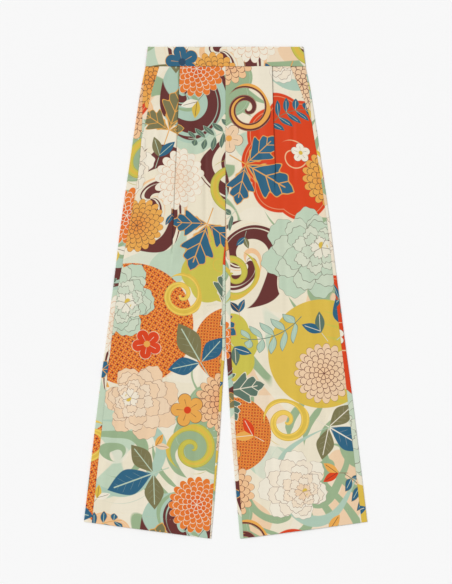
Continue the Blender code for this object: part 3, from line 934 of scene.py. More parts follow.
def sprinkled() -> tuple[Placing, ...]:
    """Small motifs spread evenly over the repeat.

    Each next one steps on by two ratios that share no whole multiple, which fills a
    rectangle evenly without rows.
    """
    places = []
    for number in range(SPRINKLE_COUNT):
        across, along = (number * step % 1.0 * size
                         for step, size in zip(SPRINKLE_STEPS, REPEAT))
        places.append(Placing(SPRINKLE_MOTIFS[number % len(SPRINKLE_MOTIFS)], across, along,
                              SPRINKLE_RADII[number % len(SPRINKLE_RADII)],
                              number * SPRINKLE_TURN % 360.0,
                              *SPRINKLE_DYES[number % len(SPRINKLE_DYES)]))
    return tuple(places)


@dataclass
class PrintLayer:
    """One layer of the print: motifs that keep clear of each other on the repeat.

    Attributes:
        name: prefix of the layer's attributes.
        placings: the motifs, where they are wanted.
        below: a layer already laid, whose motifs these ones keep clear of as well.
        kept_clear: share of those motifs' radii that is kept clear.
        clearance: least distance between two motifs, in millimetres.
        rounds: how often overlapping motifs are pushed apart.
        push: share of an overlap that one round takes away.
        rim: how far out a face still counts to a motif, in the motif's radii.
        centres: the motifs' centres after that.
        crowding: the largest overlap left, in millimetres.
    """

    name: str
    placings: tuple[Placing, ...]
    below: "PrintLayer | None" = None
    kept_clear: float = 0.86
    clearance: float = 4.0
    rounds: int = 400
    push: float = 0.32
    rim: float = 1.3
    centres: np.ndarray = field(init=False)
    crowding: float = field(init=False)

    def __post_init__(self) -> None:
        """Push overlapping motifs apart until each keeps clear of all others."""
        repeat = np.array(REPEAT)
        centres = np.array([(p.across, p.along) for p in self.placings], float)
        radii = np.array([p.radius for p in self.placings], float)
        count, others, fixed = len(radii), radii, np.zeros((0, 2))
        if self.below is not None:
            fixed = self.below.centres
            held = np.array([p.radius * self.kept_clear for p in self.below.placings])
            others = np.concatenate([radii, held])
        wanted = radii[:, None] + others[None, :] + self.clearance
        itself = np.eye(count, len(others)) * 1e6
        for _ in range(self.rounds):
            apart = centres[:, None] - np.concatenate([centres, fixed])[None]
            apart -= repeat * np.round(apart / repeat)
            distance = np.linalg.norm(apart, axis=-1) + itself
            short = np.clip(wanted - distance, 0.0, None)
            push = (apart / distance[..., None] * short[..., None]).sum(axis=1)
            centres = centres + self.push * push
        self.centres = centres % repeat
        self.crowding = float(short.max())

    def stamp(self, mesh: bpy.types.Mesh, corners: np.ndarray) -> None:
        """Write on the mesh, for every face, the motif it lies on and where.

        A face takes the motif whose centre is nearest in that motif's own radii, over all
        repeats. Its corners hold their place in the motif, turned and in radii, and the
        motif's number; its face holds the motif's three dyes.

        Args:
            mesh: the mesh of quads.
            corners: place of each face's corners on the cloth, in metres.
        """
        repeat = np.array(REPEAT) * MM
        centres = self.centres * MM
        radii = np.array([p.radius for p in self.placings]) * MM
        turns = np.radians([p.turn for p in self.placings])
        middle = corners.mean(axis=1)
        apart = middle[:, None] - centres[None]
        apart -= repeat * np.round(apart / repeat)
        share = np.linalg.norm(apart, axis=-1) / radii
        nearest = share.argmin(axis=1)
        faces = np.arange(len(middle))
        home = middle - apart[faces, nearest]
        local = (corners - home[:, None]) / radii[nearest][:, None, None]
        cosine, sine = np.cos(turns[nearest])[:, None], np.sin(turns[nearest])[:, None]
        across = local[..., 0] * cosine + local[..., 1] * sine
        along = local[..., 1] * cosine - local[..., 0] * sine
        kinds = np.array([p.motif for p in self.placings], float)[nearest]
        kinds = np.where(share[faces, nearest] < self.rim, kinds, float(Motif.NONE))
        number = np.repeat(kinds[:, None], 4, axis=1)
        write_attribute(mesh, self.name + "_place", "FLOAT_VECTOR", "CORNER",
                        np.stack([across, along, number], axis=-1))
        for dye in DYES:
            table = np.array([getattr(p, dye).linear() for p in self.placings])
            write_attribute(mesh, f"{self.name}_{dye}", "FLOAT_COLOR", "FACE",
                            table[nearest])


def write_attribute(mesh: bpy.types.Mesh, name: str, kind: str, domain: str,
                    values: np.ndarray) -> None:
    """Add an attribute to a mesh and fill it.

    Args:
        mesh: the mesh.
        name: name that the materials read it by.
        kind: Blender's data type, such as FLOAT_VECTOR.
        domain: POINT, CORNER or FACE.
        values: one row for each element of the domain.
    """
    attribute = mesh.attributes.new(name, kind, domain)
    key = {"FLOAT": "value", "FLOAT_VECTOR": "vector", "FLOAT_COLOR": "color"}[kind]
    attribute.data.foreach_set(key, np.ascontiguousarray(values, np.float32).ravel())


# ------------------------------------------------------------------ node arithmetic
Tree = bpy.types.NodeTree
Node = bpy.types.Node
Socket = bpy.types.NodeSocket


class Field:
    """A number that varies over the surface; arithmetic on it adds Math nodes."""

    def __init__(self, tree: Tree, socket: Socket) -> None:
        """Keep the tree and the socket that gives the number."""
        self.tree = tree
        self.socket = socket

    def math(self, operation: str, *others: "Field | float", clamp: bool = False,
             first: "Field | float | None" = None) -> "Field":
        """Add one Math node.

        Args:
            operation: Blender's name of the operation.
            others: what follows this number.
            clamp: True to keep the result between 0 and 1.
            first: what goes before this number, if anything.

        Returns:
            The node's result.
        """
        terms = (self, *others) if first is None else (first, self, *others)
        node = add_node(self.tree, "Math", dict(enumerate(terms)), operation=operation,
                        use_clamp=clamp)
        return Field(self.tree, node.outputs[0])

    def __add__(self, other: "Field | float") -> "Field":
        """Sum."""
        return self.math("ADD", other)

    __radd__ = __add__

    def __sub__(self, other: "Field | float") -> "Field":
        """Difference."""
        return self.math("SUBTRACT", other)

    def __rsub__(self, other: float) -> "Field":
        """Difference from a plain number."""
        return self.math("SUBTRACT", first=other)

    def __mul__(self, other: "Field | float") -> "Field":
        """Product."""
        return self.math("MULTIPLY", other)

    __rmul__ = __mul__

    def __truediv__(self, other: "Field | float") -> "Field":
        """Quotient."""
        return self.math("DIVIDE", other)

    def __abs__(self) -> "Field":
        """Size without its sign."""
        return self.math("ABSOLUTE")

    def sin(self) -> "Field":
        """Sine, in radians."""
        return self.math("SINE")

    def cos(self) -> "Field":
        """Cosine, in radians."""
        return self.math("COSINE")

    def root(self) -> "Field":
        """Square root, 0 below 0."""
        return self.math("SQRT")

    def power(self, exponent: float) -> "Field":
        """Power."""
        return self.math("POWER", exponent)

    def saw(self) -> "Field":
        """Fraction less a half: a saw from -0.5 to 0.5 that starts again each whole one."""
        return self.math("FRACT") - 0.5

    def above(self, edge: float, soft: float) -> "Field":
        """1 where the number is above the edge, with a soft step across it."""
        return self.math("MULTIPLY_ADD", 1.0 / soft, 0.5 - edge / soft, clamp=True)

    def below(self, edge: float, soft: float) -> "Field":
        """1 where the number is below the edge, with a soft step across it."""
        return self.math("MULTIPLY_ADD", -1.0 / soft, 0.5 + edge / soft, clamp=True)

    def near(self, width: float, soft: float) -> "Field":
        """1 where the number is within a width of 0."""
        return abs(self).below(width, soft)

    def either(self, other: "Field") -> "Field":
        """The larger of two masks."""
        return self.math("MAXIMUM", other)

    def mix(self, below: "Term", above: "Term") -> Socket:
        """Mix two colours, the second where this mask is 1."""
        return mix_colours(self.tree, self, below, above)


Term = Field | Socket | float | tuple[float, ...]       # what can feed a node's input


def feed(tree: Tree, node: Node, inputs: dict[str | int, Term]) -> None:
    """Feed a node's inputs.

    Args:
        tree: the tree that the node is in.
        node: the node.
        inputs: what feeds each input, by the input's name or number. A field or a socket
            is linked, and a plain number, colour or place is set on the input.
    """
    for slot, term in inputs.items():
        source = term.socket if isinstance(term, Field) else term
        if isinstance(source, Socket):
            tree.links.new(source, node.inputs[slot])
        else:
            node.inputs[slot].default_value = source


def add_node(tree: Tree, kind: str, inputs: dict[str | int, Term] | None = None,
             **settings: object) -> Node:
    """Add a shader node.

    Args:
        tree: the tree that it goes into.
        kind: its type, without the ShaderNode that every type starts with.
        inputs: what feeds its inputs.
        settings: its other settings.

    Returns:
        The node.
    """
    node = tree.nodes.new("ShaderNode" + kind)
    for name, value in settings.items():
        setattr(node, name, value)
    feed(tree, node, inputs or {})
    return node


def mix_colours(tree: Tree, share: Term, below: Term, above: Term) -> Socket:
    """Add a node that mixes two colours, the second where the share is 1."""
    node = add_node(tree, "Mix", {"Factor": share}, data_type="RGBA")
    slots = [slot for slot, socket in enumerate(node.inputs) if socket.type == "RGBA"]
    feed(tree, node, dict(zip(slots, (below, above))))
    return next(socket for socket in node.outputs if socket.type == "RGBA")


def split_place(tree: Tree, place: Socket) -> tuple[Field, ...]:
    """Add a node that gives the three numbers of a place."""
    node = add_node(tree, "SeparateXYZ", {0: place})
    return tuple(Field(tree, number) for number in node.outputs)


def add_noise(tree: Tree, place: Socket, scale: float = 1.0, detail: float = 2.0) -> Field:
    """Add soft noise over a place, a number that stays near a half."""
    node = add_node(tree, "TexNoise", {"Vector": place, "Scale": scale, "Detail": detail})
    return Field(tree, node.outputs["Fac"])


def map_place(tree: Tree, place: Socket, **settings: tuple[float, float, float]) -> Socket:
    """Add a Mapping node on a place, with some of its settings."""
    return add_node(tree, "Mapping", {"Vector": place, **settings}).outputs["Vector"]


def read_attribute(tree: Tree, name: str) -> bpy.types.NodeOutputs:
    """Add a node that reads an attribute of the piece's mesh; gives its outputs."""
    return add_node(tree, "Attribute", attribute_type="GEOMETRY", attribute_name=name).outputs


def read_place(tree: Tree) -> Socket:
    """Add a node that reads where a point lies on the printed cloth."""
    return add_node(tree, "UVMap", uv_map="print").outputs["UV"]


def new_group(name: str, inputs: Sequence[tuple[str, str]],
              outputs: Sequence[tuple[str, str]]) -> tuple[Tree, bpy.types.NodeOutputs, Node]:
    """Make a shader node group.

    Args:
        name: its name.
        inputs: name and type of each input socket.
        outputs: name and type of each output socket.

    Returns:
        The group, what it is given, and the node that takes its results.
    """
    tree = bpy.data.node_groups.new(name, "ShaderNodeTree")
    for way, sockets in (("INPUT", inputs), ("OUTPUT", outputs)):
        for label, kind in sockets:
            tree.interface.new_socket(name=label, in_out=way, socket_type="NodeSocket" + kind)
    given = tree.nodes.new("NodeGroupInput").outputs
    return tree, given, tree.nodes.new("NodeGroupOutput")


@dataclass(frozen=True)
class PetalRing:
    """One ring of petals round a flower's heart.

    Attributes:
        petals: how many there are.
        size: outer radius, in radii of the motif.
        shift: turn of the ring, in petals.
        shade: share of the accent colour.
        fall: how far the ring's centre lies below the motif's.
    """

    petals: float
    size: float
    shift: float
    shade: float
    fall: float = 0.0


class MotifSheet:
    """One motif being drawn: its place, its dyes, and what is painted so far.

    Lengths are in radii of the motif. Its x and y run from its centre.
    """

    fan_foot = 0.5      # how far left of the centre a fan of leaves has its foot
    fan_leaves = 5.0    # how many leaves a whole fan would have; three are drawn

    def __init__(self, motif: Motif) -> None:
        """Make the group, which takes a place and dyes and gives a colour and a mask."""
        self.tree, given, self.result = new_group(
            "print_" + motif.name.lower(),
            (("Place", "Vector"), *((dye.title(), "Color") for dye in DYES)),
            (("Colour", "Color"), ("Mask", "Float")))
        self.x, self.y, _ = split_place(self.tree, given["Place"])
        self.paint, self.trim, self.accent = (given[dye.title()] for dye in DYES)
        self.colour = self.paint

    @cached_property
    def radius(self) -> Field:
        """Distance from the centre."""
        return (self.x * self.x + self.y * self.y).root()

    @cached_property
    def angle(self) -> Field:
        """Angle round the centre, from the x axis."""
        return self.y.math("ARCTAN2", self.x)

    @cached_property
    def turns(self) -> Field:
        """The same angle in whole turns."""
        return self.angle * (0.5 / math.pi)

    def lay(self, mask: Field, colour: Term) -> None:
        """Paint a colour over what is there."""
        self.colour = mask.mix(self.colour, colour)

    def rings(self, rings: Sequence[PetalRing], point: float, bow: float, ruffle: float,
              line: float) -> Field:
        """Paint rings of petals from the outermost inwards; gives the mask of the first."""
        masks = [self.ring(ring, point, bow, ruffle, line) for ring in rings]
        return masks[0]

    def ring(self, ring: PetalRing, point: float, bow: float, ruffle: float,
             line: float) -> Field:
        """Paint one ring of petals over what is there.

        A petal reaches out to the ring's size, less the bow times its distance from the
        petal's middle raised to a power. Two sines of the angle ruffle its edge.

        Args:
            ring: the ring.
            point: the power; the higher it is, the blunter the petal.
            bow: share of the size that a petal's sides fall back by.
            ruffle: height of the ruffles.
            line: half width of the lines between and round the petals.

        Returns:
            The mask of the ring.
        """
        y = self.y + ring.fall
        radius = (self.x * self.x + y * y).root()
        angle = y.math("ARCTAN2", self.x)
        across = abs((angle * (ring.petals * 0.5 / math.pi) + ring.shift).saw())
        edge = ring.size - (across * 2.0).power(point) * (bow * ring.size)
        if ruffle > 0.0:
            edge = edge + (angle * (ring.petals * 4.0 + 1.0)).sin() * ruffle
            edge = edge + (angle * 11.0 + ring.size * 20.0).sin() * (ruffle * 1.3)
        depth = edge - radius
        inside = depth.above(0.0, 0.010)
        self.lay(inside, self.paint)
        self.lay(inside * ring.shade, self.accent)
        gap = (0.5 - across) * radius * (2.0 * math.pi / ring.petals)
        groove = gap.below(line, 0.010) * inside
        self.lay(groove.either(depth.near(line, 0.010)), self.trim)
        return inside

    def fan_turns(self) -> Field:
        """Angle round the foot of a fan of leaves, in whole turns from the middle leaf."""
        return self.y.math("ARCTAN2", self.x + self.fan_foot) * (0.5 / math.pi)

    def leaf_fan(self) -> tuple[Field, Field, Field, Field]:
        """Lay out three leaves a fifth of a turn apart round a foot left of the centre.

        The middle leaf is longer than the other two by a third.

        Returns:
            Distance along a leaf's rib and to its side, in leaf lengths; the mask of the
            three leaves' sectors; and the mask of the stalk.
        """
        turns, x = self.fan_turns(), self.x + self.fan_foot
        radius = (x * x + self.y * self.y).root()
        lean = (turns * self.fan_leaves + 0.5).saw() * (2.0 * math.pi / self.fan_leaves)
        size = abs(turns).below(0.1, 0.002) * 0.36 + 1.02
        along, across = radius * lean.cos() / size, abs(radius * lean.sin()) / size
        near = abs(turns).below(0.3, 0.01) * along.below(1.0, 0.01)
        stalk = abs(self.y).below(0.014, 0.012) * (self.x + 0.72).near(0.24, 0.02)
        return along, across, near, stalk

    def close(self, mask: Field) -> Tree:
        """End the drawing with the mask of the whole motif."""
        feed(self.tree, self.result, {"Colour": self.colour, "Mask": mask})
        return self.tree


def draw_cloud(sheet: MotifSheet) -> Field:
    """A patch with a scalloped edge, a thin line inside it and a fine curl in the middle."""
    edge = 0.84 + 0.09 * abs((sheet.angle * 4.0).sin()) + 0.06 * (sheet.angle * 2.0 + 1.0).sin()
    depth = edge - sheet.radius
    inside = depth.above(0.0, 0.012)
    sheet.lay((depth - 0.055).near(0.004, 0.010) * 0.7, sheet.trim)
    wound = (sheet.radius * 6.0 - sheet.turns).saw()
    sheet.lay(wound.near(0.05, 0.05) * sheet.radius.below(0.26, 0.01), sheet.trim)
    return inside


def draw_marble(sheet: MotifSheet) -> Field:
    """Swirled bands in a patch with a wavy edge, with thin tapering lines between them."""
    warp = (sheet.x * 3.2 + sheet.y * 2.0).sin() * 1.5 + (sheet.y * 4.1 - 0.6).sin() * 0.7
    phase = sheet.angle * 2.0 + sheet.radius * 9.5 + warp
    taper = (sheet.angle + sheet.radius * 5.0).sin()
    sheet.lay((phase.sin() - taper * 0.30).above(0.16, 0.11), sheet.trim)
    sheet.lay(((phase - 1.1).sin() + taper * 0.05).below(-0.962, 0.02), sheet.trim)
    sheet.lay(((phase + 0.5).sin() - taper * 0.04).above(0.965, 0.02), sheet.accent)
    edge = 0.90 + 0.05 * (sheet.angle * 3.0).sin() + 0.04 * (sheet.angle * 5.0 + 2.0).sin()
    return (edge - sheet.radius).above(0.0, 0.012)


def draw_lattice(sheet: MotifSheet) -> Field:
    """A disc of crossed bars and diamonds with a dot in each."""
    across, along = abs((sheet.x * 9.5).saw()), abs((sheet.y * 9.5).saw())
    sheet.lay((across - along).near(0.030, 0.05), sheet.trim)
    sheet.lay((across + along - 0.5).near(0.034, 0.05), sheet.trim)
    sheet.lay((across * across + along * along).below(0.017, 0.012), sheet.accent)
    away, off = across - 0.5, along - 0.5
    sheet.lay((away * away + off * off).below(0.010, 0.010), sheet.accent)
    return sheet.radius.below(0.985, 0.010)


def draw_ripple(sheet: MotifSheet) -> Field:
    """Wobbly rings like those on water, that swell on one side and taper to nothing."""
    wobble = 1.0 + 0.16 * (sheet.angle * 2.0 + 1.0).sin() + 0.09 * (sheet.angle * 3.0).sin()
    depth = sheet.radius * wobble
    ring = abs((depth * 3.3).saw())
    width = 0.15 + 0.17 * (sheet.angle + depth * 4.0).sin()
    line = (width - ring).above(0.0, 0.04)
    sheet.colour = sheet.trim
    sheet.lay(depth.above(0.62, 0.01), sheet.accent)
    return line * depth.below(0.97, 0.012)


def draw_disc(sheet: MotifSheet) -> Field:
    """A plain disc with a few faint brushed strokes."""
    bent = sheet.y + (sheet.x * 3.0).sin() * 0.10
    stroke = (sheet.x * 3.4).sin() * 0.16 - abs((bent * 4.5).saw())
    sheet.lay(stroke.above(0.0, 0.03) * 0.7, sheet.trim)
    return sheet.radius.below(0.985, 0.010)


def draw_mum(sheet: MotifSheet) -> Field:
    """A full flower of narrow round-tipped petals in six rings."""
    rings = (PetalRing(19.0, 0.97, 0.0, 0.0), PetalRing(18.0, 0.81, 0.5, 0.0),
             PetalRing(16.0, 0.65, 0.1, 0.12), PetalRing(13.0, 0.49, 0.6, 0.24),
             PetalRing(10.0, 0.34, 0.2, 0.38), PetalRing(7.0, 0.20, 0.4, 0.55))
    return sheet.rings(rings, point=2.4, bow=0.17, ruffle=0.0, line=0.010)


def draw_peony(sheet: MotifSheet) -> Field:
    """A full blossom seen from one side: rings of broad, ruffled petals, seeded heart."""
    rings = (PetalRing(7.0, 0.93, 0.00, 0.00), PetalRing(8.0, 0.77, 0.35, 0.22, 0.08),
             PetalRing(6.0, 0.62, 0.10, 0.05, 0.15), PetalRing(7.0, 0.48, 0.60, 0.45, 0.21),
             PetalRing(6.0, 0.35, 0.20, 0.25, 0.26), PetalRing(5.0, 0.22, 0.70, 0.85, 0.31))
    whole = sheet.rings(rings, point=2.0, bow=0.24, ruffle=0.014, line=0.0045)
    above_heart = sheet.y + 0.33
    across, along = sheet.x * 22.0, above_heart * 22.0
    seeds = (across + along.sin()).sin() * along.cos()
    core = (sheet.x * sheet.x + above_heart * above_heart).below(0.012, 0.004)
    sheet.lay(seeds.above(0.35, 0.3) * core, Dye.MUSTARD.linear())
    return whole


def draw_sprig(sheet: MotifSheet) -> Field:
    """A bent stem with oval leaflets in pairs, each with a pale rib."""
    bend = sheet.y + (sheet.x * sheet.x - 0.45) * 0.3
    side = abs(bend)
    longest = (1.0 - sheet.x * sheet.x).root() * 0.50 + 0.02
    share = side / longest
    foot = (sheet.x - side * 0.55) * 2.9
    across = abs((foot + 0.5).saw())
    width = (share * 3.0 + 0.12).sin() * 0.38
    depth = (width - across) * share.below(1.0, 0.05) * abs(foot).below(2.5, 0.01)
    leaf = depth.above(0.03, 0.03)
    sheet.lay((depth - 0.05).near(0.022, 0.03), sheet.trim)
    sheet.lay(across.below(0.025, 0.02) * share.below(0.75, 0.05), sheet.accent)
    stem = side.below(0.012, 0.010) * abs(sheet.x).below(0.93, 0.02)
    sheet.lay(stem, sheet.trim)
    return leaf.either(stem)


def draw_lobed(sheet: MotifSheet) -> Field:
    """Three lobed leaves on one stalk, outlined and veined."""
    along, across, near, stalk = sheet.leaf_fan()
    waved = (along * 23.0 - across * 17.0).sin() * (0.50 - along * 0.42)
    lobes = (waved + 0.45) * along.above(0.27, 0.10) + 0.55
    depth = (along.power(0.95) * math.pi).sin() * lobes * 0.30 - across
    depth = depth.math("SMOOTH_MIN", along * 0.66 - across, 0.10)
    veins = ((along - across * 1.1) * 3.66).saw().near(0.045, 0.04) * across.below(0.22, 0.02)
    veins = veins.either(across.below(0.010, 0.012)) * along.below(0.82, 0.02)
    sheet.lay(veins.either(depth.near(0.014, 0.014)), sheet.trim)
    sheet.lay(stalk, sheet.trim)
    return (depth.above(-0.012, 0.014) * near).either(stalk)


def draw_leaves(sheet: MotifSheet) -> Field:
    """Three pointed oval leaves on one stalk, the middle one in the second colour."""
    along, across, near, stalk = sheet.leaf_fan()
    depth = (along.power(0.9) * math.pi).sin() * 0.28 - across
    depth = depth.math("SMOOTH_MIN", along * 0.66 - across, 0.20)
    sheet.lay(abs(sheet.fan_turns()).below(0.1, 0.002), sheet.accent)
    sheet.lay(across.below(0.012, 0.012) * along.below(0.86, 0.02), sheet.trim)
    side = ((along - across * 0.9) * 6.0).saw().near(0.02, 0.03) * across.below(0.15, 0.03)
    sheet.lay(side * along.below(0.8, 0.05) * 0.4, sheet.trim)
    sheet.lay(stalk, sheet.trim)
    return (depth.above(0.0, 0.014) * near).either(stalk)


def draw_curl(sheet: MotifSheet) -> Field:
    """A ribbon wound in a spiral, edged in a darker line, thin at its heart."""
    wound = abs((sheet.radius * 1.75 - sheet.turns).saw())
    width = 0.10 + 0.24 * sheet.radius
    depth = width - wound
    limit = (sheet.radius + (sheet.angle * 3.0 + 1.0).sin() * 0.05).below(0.93, 0.014)
    sheet.lay((depth - 0.026).near(0.008, 0.014) * 0.8, sheet.trim)
    sheet.lay(depth.above(0.15, 0.012) * sheet.radius.above(0.45, 0.02), sheet.accent)
    return depth.above(0.0, 0.014) * limit


def draw_bud(sheet: MotifSheet) -> Field:
    """A small flower of five round petals."""
    depth = 0.56 + 0.40 * abs((sheet.angle * 2.5).cos()).power(0.6) - sheet.radius
    spokes = abs((sheet.angle * 2.5).sin()).below(0.06, 0.05) * sheet.radius.below(0.62, 0.04)
    sheet.lay(spokes.either(depth.near(0.03, 0.03)), sheet.trim)
    sheet.lay(sheet.radius.below(0.2, 0.04), sheet.accent)
    return depth.above(0.0, 0.03)


def draw_leaf_pair(sheet: MotifSheet) -> Field:
    """Two pointed leaves on one stalk, each of its own colour."""
    side = abs(sheet.y)
    along = sheet.x * 0.83 + side * 0.56 + 0.35
    across = abs(side * 0.83 - sheet.x * 0.56 - 0.12)
    depth = (along * 2.45).sin() * 0.27 - across
    leaf = depth.above(0.0, 0.02) * along.above(0.0, 0.02) * along.below(1.28, 0.02)
    stalk = side.below(0.018, 0.02) * (sheet.x + 0.65).near(0.3, 0.03)
    sheet.lay(sheet.y.above(0.0, 0.01), sheet.accent)
    sheet.lay(across.below(0.016, 0.016) * along.below(1.1, 0.03), sheet.trim)
    sheet.lay(stalk, sheet.trim)
    return leaf.either(stalk)


DRAWINGS: dict[Motif, Callable[[MotifSheet], Field]] = {
    Motif.CLOUD: draw_cloud,
    Motif.MARBLE: draw_marble,
    Motif.LATTICE: draw_lattice,
    Motif.RIPPLE: draw_ripple,
    Motif.DISC: draw_disc,
    Motif.MUM: draw_mum,
    Motif.PEONY: draw_peony,
    Motif.SPRIG: draw_sprig,
    Motif.LOBED: draw_lobed,
    Motif.LEAVES: draw_leaves,
    Motif.CURL: draw_curl,
    Motif.BUD: draw_bud,
    Motif.LEAF_PAIR: draw_leaf_pair,
}


@dataclass
class FloralPrint:
    """The printed design: a ground with three layers of motifs over it.

    Attributes:
        patches: scale and shift of the noise that lays the ground's patches.
        pale_parts: the same of the one that makes parts of them paler.
        levels: the same of the one whose levels the ground's lines follow.
        layers: the layers of motifs, the lowest first.
        group: the node group that gives the print's colour.
    """

    patches: tuple[float, float] = (5.6, 0.0)
    pale_parts: tuple[float, float] = (8.0, 3.0)
    levels: tuple[float, float] = (3.6, 7.0)
    layers: tuple[PrintLayer, ...] = field(init=False)
    group: Tree = field(init=False)

    def __post_init__(self) -> None:
        """Draw every motif once, then lay the layers over the ground."""
        blooms = PrintLayer("bloom", BLOOMS)
        self.layers = (PrintLayer("backdrop", BACKDROP), blooms,
                       PrintLayer("sprinkle", sprinkled(), below=blooms))
        drawn = {motif: self._draw(motif) for motif in DRAWINGS}
        self.group, _, result = new_group("floral_print", (), (("Colour", "Color"),))
        colour = self._ground()
        for layer in self.layers:
            colour = self._over(layer, colour, drawn)
        feed(self.group, result, {"Colour": colour})

    def _draw(self, motif: Motif) -> Tree:
        """Draw one motif as a node group."""
        sheet = MotifSheet(motif)
        return sheet.close(DRAWINGS[motif](sheet))

    def _ground(self) -> Socket:
        """Cream with patches of blush and pale green, and lines like those on water.

        The patches are where one slow noise is high or low, each with a paler part where
        a second one is high. The lines follow the levels of a third; they swell and taper
        with the first, and are gone where it is low.
        """
        place = read_place(self.group)
        slow, patch, level = (
            add_noise(self.group, map_place(self.group, place,
                                            Location=(shift, shift * 0.6, 0.0)), scale, 0.0)
            for scale, shift in (self.patches, self.pale_parts, self.levels))
        colour = slow.above(0.58, 0.005).mix(Dye.CREAM.linear(), Dye.BLUSH.linear())
        colour = slow.below(0.38, 0.005).mix(colour, Dye.MINT.linear())
        colour = (patch.above(0.54, 0.005) * 0.5).mix(colour, Dye.PALE.linear())
        width = slow * 2.4 - 1.12
        lines = (width.math("MINIMUM", 0.2) - abs((level * 12.0).saw())).above(0.0, 0.03)
        return lines.mix(colour, Dye.SAGE.linear())

    def _over(self, layer: PrintLayer, colour: Socket, drawn: dict[Motif, Tree]) -> Socket:
        """Lay one layer's motifs over a colour.

        Args:
            layer: the layer, whose attributes say which motif a face lies on.
            colour: the colour under it.
            drawn: every motif's node group.

        Returns:
            The colour with the layer over it.
        """
        tree = self.group
        place = read_attribute(tree, layer.name + "_place")["Vector"]
        dyes = {dye.title(): read_attribute(tree, f"{layer.name}_{dye}")["Color"]
                for dye in DYES}
        number = split_place(tree, place)[2]
        for motif in sorted({p.motif for p in layer.placings}):
            drawing = add_node(tree, "Group", {"Place": place, **dyes},
                               node_tree=drawn[motif]).outputs
            chosen = number.math("COMPARE", float(motif), 0.4)
            mask = chosen * Field(tree, drawing["Mask"])
            colour = mask.mix(colour, drawing["Colour"])
        return colour

    def lay_on(self, mesh: bpy.types.Mesh, corners: np.ndarray) -> None:
        """Give a mesh its print: the UV map of the ground and every layer's attributes."""
        uv = mesh.uv_layers.new(name="print")
        uv.data.foreach_set("uv", np.ascontiguousarray(corners, np.float32).ravel())
        for layer in self.layers:
            layer.stamp(mesh, corners)


# ------------------------------------------------------------------ finishes
SLUB_STRETCHES = ((160.0, 26.0, 1.0), (24.0, 170.0, 1.0))   # noise along each of the threads
HANDLE_STRETCH = (11.0, 7.0, 1.0)                           # noise of the cloth's handle


def new_material(name: str) -> tuple[bpy.types.Material, Tree, Node]:
    """Make a material; gives it, its tree and its shader."""
    material = bpy.data.materials.new(name)
    material.use_nodes = True
    tree = material.node_tree
    return material, tree, tree.nodes["Principled BSDF"]


def add_bump(tree: Tree, height: Socket, strength: float, distance: float) -> Socket:
    """Add a bump from a height, of a strength and a distance in metres."""
    return add_node(tree, "Bump", {"Height": height, "Strength": strength,
                                   "Distance": distance}).outputs["Normal"]


def weave_group() -> Tree:
    """Weave of smooth cloth: fine threads, uneven slubs and a slow handle to the touch.

    Height is the sum of the product of two fine waves, one along each thread, long thin
    noise along both and soft noise a few centimetres across. Shade goes a little up and
    down with the threads and the slubs.
    """
    tree, given, result = new_group(
        "smooth_weave", (("Place", "Vector"), ("Threads", "Float"), ("Slubs", "Float")),
        (("Height", "Float"), ("Shade", "Float"), ("Roughness", "Float")))
    u, v, _ = split_place(tree, given["Place"])
    threads = Field(tree, given["Threads"])
    plain = (u * threads).sin() * (v * threads).sin()
    first, second, handle = (
        add_noise(tree, map_place(tree, given["Place"], Scale=stretch)) - 0.5
        for stretch in (*SLUB_STRETCHES, HANDLE_STRETCH))
    slubs = (first + second) * Field(tree, given["Slubs"])
    feed(tree, result, {"Height": plain * 0.16 + slubs + handle * 3.0,
                        "Shade": plain * 0.022 + slubs * 0.12 + handle * 0.05 + 1.0,
                        "Roughness": slubs * 0.25 + 0.54})
    return tree


@dataclass(frozen=True)
class PrintedCloth:
    """Finish of the printed cloth, its face or its paler reverse.

    Attributes:
        name: its name.
        fade: how much the print is faded towards the pale dye.
        depth: how bright the dyes come out.
        painted_shade_weight: how much of that painted shade of 1 takes away.
        threads: waves of the weave in a metre, times a whole turn.
        slubs: strength of the uneven threads.
        bump: height of the weave's relief, in metres.
        bump_strength: how strongly it shows.
        gloss: specular level.
        sheen: strength of the soft gleam.
        sheen_roughness: how wide that spreads.
    """

    name: str
    fade: float
    depth: float = 0.90
    painted_shade_weight: float = 0.28
    threads: float = 7000.0
    slubs: float = 0.45
    bump: float = 0.0002
    bump_strength: float = 0.6
    gloss: float = 0.22
    sheen: float = 0.10
    sheen_roughness: float = 0.4

    def make(self, pattern: Tree, weave: Tree) -> bpy.types.Material:
        """Make the material.

        Args:
            pattern: the group that gives the print's colour.
            weave: the group that gives the weave.

        Returns:
            The material. The print is faded on the reverse, shaded by the slubs, and
            darker by painted shade in the nooks of the pleats and where the cloth rolls into a
            seam.
        """
        material, tree, shader = new_material(self.name)
        printed = add_node(tree, "Group", node_tree=pattern).outputs["Colour"]
        cloth = add_node(tree, "Group", {"Place": read_place(tree), "Threads": self.threads,
                                         "Slubs": self.slubs}, node_tree=weave).outputs
        # painted shade of the seams and the pleats' nooks darkens the dyes
        painted_shade = Field(tree, read_attribute(tree, "painted_shade")["Fac"])
        shade = Field(tree, cloth["Shade"]) * (self.depth - painted_shade * self.painted_shade_weight)
        faded = mix_colours(tree, self.fade, printed, Dye.PALE.linear())
        scaled = add_node(tree, "VectorMath", {0: faded, "Scale": shade}, operation="SCALE")
        feed(tree, shader, {
            "Base Color": scaled.outputs["Vector"],
            "Roughness": cloth["Roughness"],
            "Normal": add_bump(tree, cloth["Height"], self.bump_strength, self.bump),
            "Metallic": 0.0,
            "Specular IOR Level": self.gloss,
            "Sheen Weight": self.sheen,
            "Sheen Roughness": self.sheen_roughness,
        })
        return material


